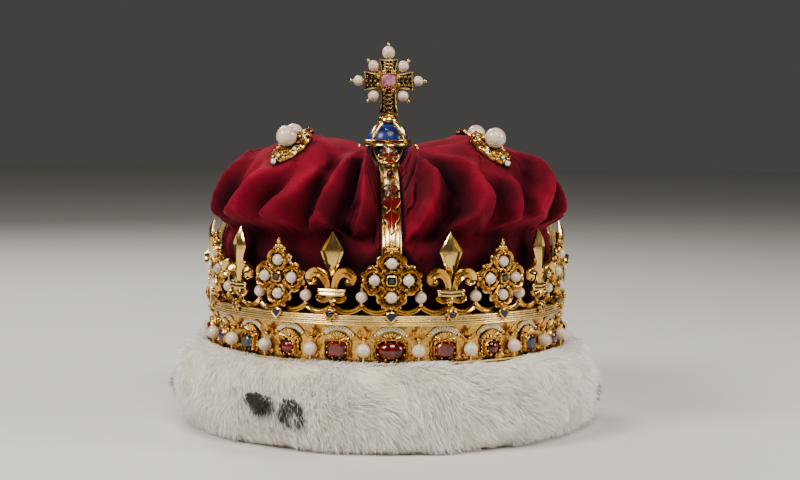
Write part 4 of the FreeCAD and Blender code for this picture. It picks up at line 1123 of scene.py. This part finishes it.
def cross():
    outline = cross_line(-0.35)
    body = Maker().add(plaque(outline, -2.0, 2.0, 0.1), cross_place)
    stem = lathe([(0.01, 169.6), (1.55, 169.6), (1.6, 169.9), (1.6, 173.6), (0.01, 173.6)], 32, False)
    body.add(stem)
    shown(body.mesh("cross_enamel", BLACK), "cross_enamel", "cross", "black_enamel", ["cross_body"], 30)
    edges = Maker()
    for depth in (-2.1, 2.1):
        line = [Vector((x, depth, z)) for x, z in cross_line(-0.3)]
        edges.add(sweep(line, round_bar(0.55, 7), loop=True), cross_place)
    wall = cross_line(-0.2)
    count = len(wall)
    points = [Vector((x, depth, z)) for depth in (-2.1, 2.1) for x, z in wall]
    faces = [(k, (k + 1) % count, count + (k + 1) % count, count + k) for k in range(count)]
    edges.add((points, faces), cross_place)
    for depth in (2.15, -2.15):
        for way, length, width in (((0, 0, 1), 5.6, 8.0), ((1, 0, 0), 7.4, 8.0), ((-1, 0, 0), 7.4, 8.0),
                                   ((0, 0, -1), 12.2, 7.6)):
            way = Vector(way)
            scrollwork(edges, Vector((0, depth, 192.3)) + way * 5.9, way, length, width)
    foot = [(-5.6, 172.95), (5.6, 172.95), (5.5, 173.5), (-5.5, 173.5)]
    edges.add(plaque(foot, -2.9, 2.9, 0.3), cross_place)
    shown(edges.mesh("cross_gold", GOLD), "cross_gold", "cross", "gold")
    settings = Maker()
    gems = Maker()
    for flip in (1, -1):
        def put(p, s=flip):
            return Vector((p.x * s, -p.y * s, p.z + 192.3))
        settings.add(sweep(oval(9.4, 8.2, 28, 3.2), [(-0.6, 1.8), (-0.4, 4.2), (0.1, 4.7), (0.8, 3.8), (1.3, 1.8)],
                           loop=True), put)
        for k in range(8):
            spin = math.radians(22.5 + 45 * k)
            settings.add(bead((6.0 * math.cos(spin), 2.7, 5.6 * math.sin(spin)), 1.3, 6, 8), put)
        gems.add(step_cut(8.6, 7.4, 1.5, 2.2, 5.9), put)
    shown(settings.mesh("cross_settings", CHASED), "cross_settings", "cross", "gold", ["cross_collets"])
    shown(gems.mesh("cross_stones", SPINEL), "cross_stones", "cross", "pink_stone", ["cross_gems"], 25)
    spots = [((0, 0, 192.3 + 16.0), 3.7), ((16.95, 0, 192.3), 3.0), ((-16.95, 0, 192.3), 3.0)]
    spots += [((x * 8.4, 0, 192.3 + z * 8.4), 3.2) for x in (-1, 1) for z in (-1, 1)]
    pearls("cross_pearl_set", spots, "cross_pearls", "cross")
    caps = Maker()
    for place, radius in spots:
        away = (Vector(place) - Vector((0, 0, 192.3))).normalized()
        tip = Vector(place) + away * (radius + 0.1)
        caps.add(bead(tip, 0.7, 5, 8))
        caps.add(bead(tip - away * 2 * radius, 1.0, 5, 8))
    shown(caps.mesh("cross_pearl_caps", GOLD), "cross_pearl_caps", "cross", "gold")


# Brooches

def brooches():
    """Openwork brooches: scrolled gold with white and red enamel flowers, and a great pearl on claws."""
    blooms = [(Maker(), WHITE, "white_enamel"), (Maker(), RED, "red_enamel")]
    spots = []
    for index, (seat, down, normal) in enumerate(SEATS):
        side = normal.cross(down)

        def put(p, s=seat, d=down, n=normal, w=side):
            return s + w * p.x + n * (p.y + 0.4) + d * p.z
        made = Maker()
        rim = oval(15.5, 26, 40)
        wavy = [p * (1 + 0.07 * math.cos(10 * math.pi * k / 20)) for k, p in enumerate(rim)]
        made.add(sweep(wavy, channel(2.2, 1.8), loop=True), put)
        for k in range(12):
            spin = 2 * math.pi * k / 12
            made.add(bead((7.6 * math.cos(spin), 1.3, 12.6 * math.sin(spin)), 1.25), put)
        for sign in (-1, 1):
            for end in (-1, 1):
                line = curve([(0, 0.4, end * 1.5), (sign * 3.4, 0.9, end * 3.4), (sign * 4.8, 1.2, end * 7.0),
                              (sign * 2.6, 1.4, end * 9.4), (sign * 0.8, 1.5, end * 7.8),
                              (sign * 2.2, 1.6, end * 6.4)], 5)
                made.add(sweep(line, channel(1.9, 1.7)), put)
                made.add(sweep(curve([(sign * 6.6, 0.6, end * 2.0), (sign * 5.0, 1.0, 0),
                                      (sign * 3.0, 1.2, end * 1.2)], 4), round_bar(0.7, 6)), put)
        for k in range(6):
            spin = math.radians(60 * k + 30)
            line = curve([(2.6 * math.cos(spin), 0.5, 2.6 * math.sin(spin)),
                          (3.4 * math.cos(spin), 2.4, 3.4 * math.sin(spin)),
                          (3.6 * math.cos(spin), 4.6, 3.6 * math.sin(spin))], 4)
            made.add(sweep(line, round_bar(0.55, 6), out=Vector((1, 0.2, 0.4))), put)
        made.add(sweep([p + Vector((0, 1.0, 0)) for p in oval(5.8, 5.8, 16)], round_bar(1.2, 6), loop=True), put)
        name = f"brooch_openwork_{index + 1}"
        shown(made.mesh(name, CHASED), name, "cap", "gold", [f"brooch_plate_{index + 1}"])
        for k in range(10):
            spin = 2 * math.pi * (k + 0.5) / 10
            target = blooms[k % 2][0]
            target.add(bead((6.0 * math.cos(spin), 1.9, 10.4 * math.sin(spin)), 1.15, 5, 8), put)
        blooms[0][0].add(bead((0, 1.4, 15.2), 1.5, 6, 10), put)
        blooms[1][0].add(bead((0, 1.4, -14.4), 1.2, 6, 10), put)
        spots.append((put(Vector((0, 7.6, 0))), 5.65))
    for made, fill, slot in blooms:
        name = "brooch_" + slot
        shown(made.mesh(name, fill), name, "cap", slot)
    pearls("brooch_great_pearls", spots, "brooch_pearls", "cap")


# Ermine

def roll_point(azimuth, around, puff=0.0):
    """A point on the fur roll: azimuth round the crown, around from the inner top over the outside to the foot."""
    centre_r, centre_z, half_r, half_z = 104.0, 22.3, 13.0 + puff, 22.0 + puff
    lumps = 1.7 * noise.noise(Vector((azimuth * 5, around * 2, 0))) + 0.8 * noise.noise(
        Vector((azimuth * 14, around * 5, 3)))
    c, s = math.cos(around), math.sin(around)
    power = 0.9
    r = centre_r + (half_r + lumps) * math.copysign(abs(c) ** power, c)
    z = centre_z + (half_z + lumps * 0.3) * math.copysign(abs(s) ** power, s)
    return Vector((r * math.sin(azimuth), -r * math.cos(azimuth), min(44.9, max(0.6, z))))


def skin_mesh(name, first, last, low, high, columns, rows, puff=0.0, wrap_all=False, rounded=False):
    points = []
    lay = []
    for i in range(columns + (0 if wrap_all else 1)):
        azimuth = first + (last - first) * i / columns
        for j in range(rows + 1):
            around = low + (high - low) * j / rows
            p = roll_point(azimuth, around, puff)
            q = roll_point(azimuth, around - 0.05, puff)
            points.append(p)
            down = (q - p).normalized() if (q - p).length > 1e-6 else Vector((0, 0, -1))
            middle = Vector((104 * math.sin(azimuth), -104 * math.cos(azimuth), 22.3))
            away = (p - middle).normalized()
            clump = noise.noise_vector(p * 0.05) * 0.75 + noise.noise_vector(p * 0.2) * 0.3
            along = Vector((math.cos(azimuth), math.sin(azimuth), 0))
            lay.append((away * 0.2 + down * 0.6 + along * 0.45 + clump).normalized())
    faces = []
    for i in range(columns):
        j2 = (i + 1) % (columns if wrap_all else columns + 1)
        for j in range(rows):
            a = i * (rows + 1) + j
            b = j2 * (rows + 1) + j
            ragged = 1 + 0.5 * noise.noise(points[a] * 0.3)
            if rounded and math.hypot(2 * (i + 0.5) / columns - 1, 2 * (j + 0.5) / rows - 1) > ragged:
                continue
            faces.append((a, b, b + 1, a + 1))
    mesh = bpy.data.meshes.new(name)
    mesh.from_pydata([p * MM for p in points], [], faces)
    field = mesh.attributes.new("lay", "FLOAT_VECTOR", "POINT")
    field.data.foreach_set("vector", np.array([tuple(v) for v in lay], dtype=np.float32).ravel())
    return mesh


def hair(length, width):
    """One hair: a thin tapering strip that bends over."""
    mesh = bpy.data.meshes.new("one_hair")
    rows = ((0, 0, 1.0), (0.35, 0.06, 0.9), (0.7, 0.2, 0.6))
    points = []
    for up, lean, size in rows:
        points += [(lean * length, -width / 2 * size, up * length), (lean * length, width / 2 * size, up * length)]
    points.append((0.42 * length, 0, 0.96 * length))
    mesh.from_pydata([Vector(p) * MM for p in points], [], [(0, 1, 3, 2), (2, 3, 5, 4), (4, 5, 6)])
    layer = mesh.uv_layers.new(name="hair")
    heights = [0, 0, 0.35, 0.35, 0.7, 0.7, 1.0]
    for loop in mesh.loops:
        layer.data[loop.index].uv = (0.5, heights[loop.vertex_index])
    thing = bpy.data.objects.new("one_hair", mesh)
    bpy.context.scene.collection.objects.link(thing)
    return thing


def ermine():
    base = skin_mesh("ermine_roll", 0, 2 * math.pi, -math.pi, math.pi, 240, 48, wrap_all=True)
    work = bmesh.new()
    work.from_mesh(base)
    bmesh.ops.remove_doubles(work, verts=work.verts, dist=1e-6)
    bmesh.ops.recalc_face_normals(work, faces=work.faces)
    work.to_mesh(base)
    work.free()
    base.materials.append(SKIN)
    roll = shown(base, "ermine_roll", "cap", "ermine", ["ermine_band"], 0)
    strand = hair(6.5, 0.3)
    density = 2.9e6
    sectors = 6
    for k in range(sectors):
        skin = skin_mesh("skin", 2 * math.pi * k / sectors, 2 * math.pi * (k + 1) / sectors,
                         math.radians(-64), math.radians(104), 60, 40)
        mesh = grown(skin, FUR, Hair=strand, Density=density, Seed=k, Finish=WHITE_FUR)
        clear_of_floor(mesh)
        shown(mesh, f"ermine_fur_{k + 1}", "cap", "ermine", (), 0)
    tails = ((-36.0, 25.5, 9.5, 3.4), (-26.5, 22.5, 7.0, 5.0), (84, 20, 8, 4.5), (133, 25, 9, 4.2),
             (176, 22, 8, 5), (-140, 24, 9, 4.5), (-92, 21, 8, 4.6))
    dark = hair(7.0, 0.34)
    for k, (azimuth, z, half_w, half_h) in enumerate(tails):
        around = math.asin(max(-1, min(1, (z - 22.3) / 22.0)))
        wide = half_w / 118
        tall = half_h / 24
        patch = skin_mesh("tail_skin", math.radians(azimuth) - wide, math.radians(azimuth) + wide,
                          around - tall, around + tall, 16, 12, 0.6, rounded=True)
        mesh = grown(patch, FUR, Hair=dark, Density=1.1e7, Seed=40 + k, Finish=DARK_FUR)
        shown(mesh, f"ermine_tail_{k + 1}", "cap", "ermine", (), 0)
    bpy.data.objects.remove(strand)
    bpy.data.objects.remove(dark)


def clear_of_floor(mesh):
    """Keeps every hair above the surface that the roll stands on and under the circlet's rim."""
    count = len(mesh.vertices)
    flat_co = np.empty(count * 3, dtype=np.float32)
    mesh.vertices.foreach_get("co", flat_co)
    co = flat_co.reshape(-1, 3)
    co[:, 2] = np.maximum(co[:, 2], 0.0004)
    reach = np.hypot(co[:, 0], co[:, 1])
    ceiling = np.where(reach < 0.1022, 0.0449, 0.0472 + (reach - 0.1022) * 0.1)
    co[:, 2] = np.where(reach < 0.113, np.minimum(co[:, 2], ceiling), co[:, 2])
    mesh.vertices.foreach_set("co", co.ravel())
    mesh.update()


def lining():
    inner = [(89.6, 3.2), (89.6, 60), (89.6, 100)]
    inner += [(89.6 * math.cos(k * math.pi / 32), 100 + 28.5 * math.sin(k * math.pi / 32)) for k in range(1, 16)]
    inner.append((0.5, 128.5))
    outer = [(r + 1.1 if r > 2 else r, z + (1.1 if z > 100 else 0)) for r, z in reversed(inner[2:])]
    outer += [(90.7, 45.9), (94.6, 45.9), (94.6, 3.6), (93.8, 3.0), (90.4, 3.0)]
    made = Maker().add(lathe(inner + outer, 160))
    piece = shown(made.mesh("silk_cap_lining", SILK), "silk_cap_lining", "cap", "silk", ["silk_lining"], 60)
    return piece


# Velvet

LOBE_OUT, LOBE_Z, LOBE_R, LOBE_RISE = 56, 121, 56, 41
# how far out the velvet may reach: inside the cresting, and over it from OVERHANG_Z up
CRESTING_R, OVERHANG, OVERHANG_Z = 92.8, 22.0, 112.5
# the silk behind the velvet: an upright wall, then a dome
LINING_R = 91.6
DOME_R, DOME_Z, DOME_RISE = 91.8, 100, 31.0
CLOTH_FRAMES = 24
MOST_SHIFT = 3.0
FOLD_DEPTH = 1.3
MM_PER_DEGREE = 1.66
# the ridges of each quarter: points as degrees from the arch and height, then width and depth
FOLDS_A = (
    (((8, 155), (13, 143), (12, 131), (8, 118), (4, 106)), 5.5, 8.0),
    (((16, 156), (25, 146), (27, 132), (21, 116), (14, 102)), 6.5, 8.5),
    (((30, 150), (37, 138), (38, 124), (31, 106)), 7.0, 6.5),
    (((57, 152), (54, 140), (47, 126), (41, 106)), 7.5, 7.5),
    (((70, 150), (67, 136), (61, 120), (54, 104)), 6.0, 6.5),
    (((81, 146), (79, 132), (74, 116), (67, 102)), 4.5, 5.5),
    (((18, 120), (29, 112), (40, 108)), 4.5, 4.5),
    (((45, 118), (56, 114), (66, 104)), 4.5, 4.5),
)
FOLDS_B = (
    (((8, 154), (7, 140), (7, 126), (11, 110)), 4.5, 8.0),
    (((15, 152), (17, 138), (21, 124), (17, 106)), 5.5, 8.5),
    (((24, 146), (28, 130), (36, 116), (45, 102)), 7.0, 9.0),
    (((40, 146), (44, 132), (51, 118), (58, 104)), 7.0, 8.0),
    (((60, 148), (61, 132), (64, 116), (70, 104)), 6.0, 6.0),
    (((80, 142), (76, 126), (76, 110)), 4.5, 5.5),
    (((24, 120), (14, 110), (8, 104)), 4.5, 5.0),
)


def seat_of(index):
    """Where a brooch sits, read from its plate: the middle of its foot, its downward way and its normal."""
    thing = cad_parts[f"brooch_plate_{index + 1}"]
    points = np.array([tuple(thing.matrix_world @ v.co) for v in thing.data.vertices]) / MM
    middle = points.mean(axis=0)
    axes = np.linalg.svd(points - middle, full_matrices=False)[2]
    normal = Vector(axes[2]) * math.copysign(1, axes[2][2])
    down = Vector(axes[0])
    down *= math.copysign(1, down.x * middle[0] + down.y * middle[1])
    foot = min((Vector(p - middle)).dot(normal) for p in points)
    return Vector(middle) + normal * foot, down, normal


def seated(points):
    """Presses the velvet flat where each brooch is sewn down."""
    for seat, _, normal in SEATS:
        away = points - np.array(seat)
        height = away @ np.array(normal)
        flat = np.linalg.norm(away - height[:, None] * np.array(normal), axis=1)
        hold = np.clip((21 - flat) / 9, 0, 1) * (np.abs(height) < 16)
        points = points - (hold * (height + 0.3))[:, None] * np.array(normal)
    return points


def ridge(across, height, line, width, depth):
    """How far one fold lifts the velvet: a sharp crest, steep on one side, with a hollow beyond it."""
    best = np.full(len(across), 1e9)
    side = np.zeros(len(across))
    along = np.zeros(len(across))
    x = across * MM_PER_DEGREE
    for k in range(len(line) - 1):
        start = np.array([line[k][0] * MM_PER_DEGREE, line[k][1]])
        run = np.array([line[k + 1][0] * MM_PER_DEGREE, line[k + 1][1]]) - start
        t = np.clip(((x - start[0]) * run[0] + (height - start[1]) * run[1]) / run.dot(run), 0, 1)
        dx = x - start[0] - t * run[0]
        dz = height - start[1] - t * run[1]
        gap = np.hypot(dx, dz)
        nearer = gap < best
        best = np.where(nearer, gap, best)
        side = np.where(nearer, np.sign(dx * run[1] - dz * run[0]), side)
        along = np.where(nearer, (k + t) / (len(line) - 1), along)
    reach = np.where(side > 0, width * 0.55, width)
    fade = np.sin(np.pi * np.clip(along * 0.84 + 0.1, 0, 1)) ** 0.6
    crest = np.exp(-(best / reach) ** 1.25)
    hollow = 0.6 * np.exp(-((best - 2.0 * reach) / reach) ** 2)
    return FOLD_DEPTH * depth * fade * (crest - hollow)


def bonnet_radius(ways, centre):
    """How far the bonnet reaches from its centre along each direction."""
    low = np.full(len(ways), 5.0)
    high = np.full(len(ways), 160.0)
    lobes = []
    for azimuth in (45, 135, 225, -45):
        a = math.radians(azimuth)
        lobes.append((np.array([LOBE_OUT * math.sin(a), -LOBE_OUT * math.cos(a), LOBE_Z]), a))
    for _ in range(34):
        middle = (low + high) / 2
        p = centre + ways * middle[:, None]
        fields = []
        for origin, a in lobes:
            q = p - origin
            away = q[:, 0] * math.sin(a) - q[:, 1] * math.cos(a)
            side = q[:, 0] * math.cos(a) + q[:, 1] * math.sin(a)
            fields.append((away / LOBE_R) ** 2 + (side / LOBE_R) ** 2 + (q[:, 2] / LOBE_RISE) ** 2)
        flat_r = np.hypot(p[:, 0], p[:, 1])
        up = np.maximum(p[:, 2] - 100.5, 0)
        fields.append((flat_r / 92.6) ** 2 + (up / 40.5) ** 2)
        soft = -np.log(sum(np.exp(-9 * f) for f in fields)) / 9
        inside = soft < 1
        low = np.where(inside, middle, low)
        high = np.where(inside, high, middle)
    return low


def bonnet_mesh():
    """The bonnet before it settles: four puffs, arch valleys and pleats gathered in at the circlet."""
    columns, rows = 280, 60
    centre = np.array([0, 0, 66.0])
    azimuth = np.linspace(0, 2 * math.pi, columns, endpoint=False)
    rise = np.linspace(math.radians(0), math.radians(88.5), rows + 1)
    aa, rr = np.meshgrid(azimuth, rise, indexing="ij")
    ways = np.stack([np.cos(rr) * np.sin(aa), -np.cos(rr) * np.cos(aa), np.sin(rr)], axis=-1).reshape(-1, 3)
    reach = bonnet_radius(ways, centre)
    points = centre + ways * reach[:, None]
    degrees = np.degrees(aa.ravel()) % 360
    height = points[:, 2]
    lift = np.zeros(len(points))
    for quarter, (folds, flip, shift) in enumerate(((FOLDS_A, False, 0), (FOLDS_B, True, 3), (FOLDS_A, True, -3),
                                                    (FOLDS_B, True, 0))):
        local = degrees - 90 * quarter
        inside = (local >= 0) & (local < 90)
        across = 90 - local[inside] if flip else local[inside]
        total = np.zeros(inside.sum())
        for line, width, depth in folds:
            total += ridge(across + shift, height[inside], line, width, depth)
        lift[inside] = total
    near = np.minimum(np.abs(points[:, 0]), np.abs(points[:, 1]))
    for seat, _, _ in SEATS:
        lift *= np.clip((np.linalg.norm(points - np.array(seat), axis=1) - 13) / 9, 0, 1)
    lift *= np.clip((near - 5.5) / 5, 0, 1) * np.clip((158 - height) / 8, 0, 1) * np.clip((height - 60) / 30, 0, 1)
    waves = [noise.noise(Vector(p * 0.035)) for p in points]
    lift += np.array(waves) * 2.2 * np.clip((near - 6) / 12, 0, 1)
    return points + ways * np.clip(lift, -12, 7)[:, None], columns, rows + 1


def held_in(points):
    """Keeps the velvet under the arches, inside the cresting and outside the lining."""
    for index, (x, y, z) in enumerate(points):
        r = math.hypot(x, y)
        limit = CRESTING_R + min(OVERHANG, max(0.0, z - OVERHANG_Z) * 2.1)
        if r > limit:
            x, y = x * limit / r, y * limit / r
            r = limit
        near = min(abs(x), abs(y))
        if z < DOME_Z and r < LINING_R:
            x, y = x * LINING_R / r, y * LINING_R / r
            r = LINING_R
        elif z >= DOME_Z:
            short = math.sqrt((r / DOME_R) ** 2 + ((z - DOME_Z) / DOME_RISE) ** 2)
            if short < 1:
                x, y, z = x / short, y / short, DOME_Z + (z - DOME_Z) / short
                r = math.hypot(x, y)
        if near < 9.5 and r > 5:
            along = max(abs(x), abs(y))
            under = 100.5 + 41.2 * math.sqrt(max(0.0, 1 - (along / 93.6) ** 2))
            slack = 0.0 if near < 6.2 else (near - 6.2) * 3.2
            if z > under + slack:
                z = under + slack
        if r < 13.5 and z > 137:
            z = min(z, 141.5 + max(0.0, r - 9.0))
        points[index] = (x, y, z)
    return points


def settle(piece, loose):
    """Lets the velvet sag and swell like cloth from its pleated start."""
    group = piece.vertex_groups.new(name="sewn")
    for index, weight in enumerate(loose):
        if weight > 0:
            group.add([index], weight, "REPLACE")
    cloth = piece.modifiers.new("cloth", "CLOTH")
    settings = cloth.settings
    settings.quality = 5
    settings.mass = 0.3
    settings.tension_stiffness = 12
    settings.compression_stiffness = 6
    settings.shear_stiffness = 5
    settings.bending_stiffness = 0.25
    settings.shrink_min = -0.09
    settings.use_pressure = True
    settings.uniform_pressure_force = 1.4
    settings.vertex_group_mass = "sewn"
    settings.effector_weights.gravity = 0.25
    cloth.collision_settings.use_collision = False
    cloth.point_cache.frame_start = 1
    cloth.point_cache.frame_end = CLOTH_FRAMES
    scene = bpy.context.scene
    for number in range(1, CLOTH_FRAMES + 1):
        scene.frame_set(number)
    graph = bpy.context.evaluated_depsgraph_get()
    done = piece.evaluated_get(graph).to_mesh()
    co = np.empty(len(done.vertices) * 3)
    done.vertices.foreach_get("co", co)
    piece.modifiers.remove(cloth)
    piece.vertex_groups.clear()
    scene.frame_set(1)
    return co.reshape(-1, 3) / MM


def finer(points, columns, rows):
    """The same sheet with twice the rows and columns, curved smoothly between the known points."""
    grid = points.reshape(columns, rows, 3)
    between = (9 * (grid + np.roll(grid, -1, 0)) - np.roll(grid, 1, 0) - np.roll(grid, -2, 0)) / 16
    wide = np.stack([grid, between], axis=1).reshape(columns * 2, rows, 3)
    edged = np.concatenate([wide[:, :1], wide, wide[:, -1:]], axis=1)
    tall = np.empty((columns * 2, rows * 2 - 1, 3))
    tall[:, 0::2] = wide
    tall[:, 1::2] = (9 * (edged[:, 1:-2] + edged[:, 2:-1]) - edged[:, :-3] - edged[:, 3:]) / 16
    return tall.reshape(-1, 3), columns * 2, rows * 2 - 1


def sheet_faces(columns, rows):
    """Faces of a sheet that closes on itself sideways."""
    faces = []
    for i in range(columns):
        j = (i + 1) % columns
        for k in range(rows - 1):
            faces.append((i * rows + k, j * rows + k, j * rows + k + 1, i * rows + k + 1))
    return faces


def bonnet():
    start, columns, rows = bonnet_mesh()
    start = held_in(start)
    mesh = bpy.data.meshes.new("loose_velvet")
    mesh.from_pydata([Vector(p) * MM for p in start], [], sheet_faces(columns, rows))
    piece = bpy.data.objects.new("loose_velvet", mesh)
    bpy.context.scene.collection.objects.link(piece)
    loose = np.zeros(len(start))
    for index, (x, y, z) in enumerate(start):
        row = index % rows
        near = min(abs(x), abs(y))
        beside = min((seat - Vector((x, y, z))).length for seat, _, _ in SEATS)
        if row < 3 or row > rows - 4 or near < 6.0 or beside < 13:
            loose[index] = 1.0
        elif near < 9.0:
            loose[index] = 0.6
    shift = settle(piece, loose) - start
    length = np.linalg.norm(shift, axis=1)
    cap = np.minimum(1.0, MOST_SHIFT / np.maximum(length, 1e-6))
    start = held_in(start + shift * cap[:, None])
    bpy.data.objects.remove(piece)
    bpy.data.meshes.remove(mesh)
    points, columns, rows = finer(seated(start), columns, rows)
    faces = sheet_faces(columns, rows)
    verts = [tuple(p) for p in points]
    way = [(points[i * rows, 0] / math.hypot(*points[i * rows, :2]),
            points[i * rows, 1] / math.hypot(*points[i * rows, :2])) for i in range(columns)]
    before = [i * rows for i in range(columns)]
    levels = [(93.2, 46.6), (91.0, 46.6)]
    levels += [(90.95 * math.cos(k * math.pi / 24), 100 + 29.9 * math.sin(k * math.pi / 24)) for k in range(12)]
    for r, z in levels:
        level = [len(verts) + i for i in range(columns)]
        verts += [(x * r, y * r, z) for x, y in way]
        for i in range(columns):
            j = (i + 1) % columns
            faces.append((before[i], before[j], level[j], level[i]))
        before = level
    for rim, z in (([i * rows + rows - 1 for i in range(columns)], points[rows - 1, 2]), (before, 129.9)):
        verts.append((0.0, 0.0, z))
        for i in range(columns):
            faces.append((rim[i], rim[(i + 1) % columns], len(verts) - 1))
    mesh = bpy.data.meshes.new("velvet_cap")
    mesh.from_pydata([Vector(p) * MM for p in verts], [], faces)
    work = bmesh.new()
    work.from_mesh(mesh)
    bmesh.ops.recalc_face_normals(work, faces=work.faces)
    work.to_mesh(mesh)
    work.free()
    mesh.materials.append(VELVET)
    piece = shown(mesh, "velvet_cap", "cap", "velvet", ["velvet_bonnet"], 0)


def carried_over():
    """Finishes for the sub-parts whose own shape is right."""
    for node, fill in (("bottom_rim", GOLD), ("circlet_band", CHASED), ("pearl_pins", GOLD), ("arch_hub", GOLD),
                       ("cross_pins", GOLD)):
        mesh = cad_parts[node].data
        mesh.materials.clear()
        mesh.materials.append(fill)


def stage():
    """Pale floor, soft lights and the camera."""
    floor = bpy.data.meshes.new("floor")
    floor.from_pydata([(-4, -3, 0), (4, -3, 0), (4, 4, 0), (-4, 4, 0)], [], [(0, 1, 2, 3)])
    floor.materials.append(plain("pale_paper_floor", "D9D7D3", 0.7))
    thing = bpy.data.objects.new("floor", floor)
    bpy.context.scene.collection.objects.link(thing)
    world = bpy.data.worlds.new("soft_room")
    world.use_nodes = True
    world.node_tree.nodes["Background"].inputs[0].default_value = linear("B4B1AC")
    world.node_tree.nodes["Background"].inputs[1].default_value = 0.14
    bpy.context.scene.world = world
    for name, place, size, power in (("key", (-0.85, -0.7, 1.0), 0.5, 21), ("side", (1.15, -0.3, 0.6), 0.45, 10),
                                     ("top", (0.2, -0.8, 1.2), 0.5, 12), ("back", (-0.4, 0.9, 0.9), 0.5, 8)):
        lamp = bpy.data.lights.new(name, "AREA")
        lamp.size = size
        lamp.energy = power
        lamp.color = (1.0, 0.95, 0.87)
        thing = bpy.data.objects.new(name, lamp)
        bpy.context.scene.collection.objects.link(thing)
        thing.location = place
        aim = Vector((0, 0, 0.11)) - Vector(place)
        thing.rotation_euler = aim.to_track_quat("-Z", "Y").to_euler()
    lens = bpy.data.cameras.new("camera")
    lens.lens = 76.5
    lens.sensor_width = 36
    camera = bpy.data.objects.new("camera", lens)
    bpy.context.scene.collection.objects.link(camera)
    turn_away = math.radians(CAMERA_ASIDE)
    camera.location = (-CAMERA_AWAY * math.sin(turn_away), -CAMERA_AWAY * math.cos(turn_away), CAMERA_HEIGHT)
    heading = turn_away + math.radians(CAMERA_PAN)
    look = Matrix.Rotation(-heading, 3, "Z") @ Matrix.Rotation(math.radians(90 - CAMERA_DOWN), 3, "X")
    look = look @ Matrix.Rotation(math.radians(CAMERA_ROLL), 3, "Z")
    camera.rotation_euler = look.to_euler()
    bpy.context.scene.camera = camera


SEATS = [seat_of(index) for index in range(BROOCHES)]

circlet()
moulding()
gallery()
cresting()
arches()
monde()
cross()
brooches()
ermine()
lining()
bonnet()
carried_over()
stage()
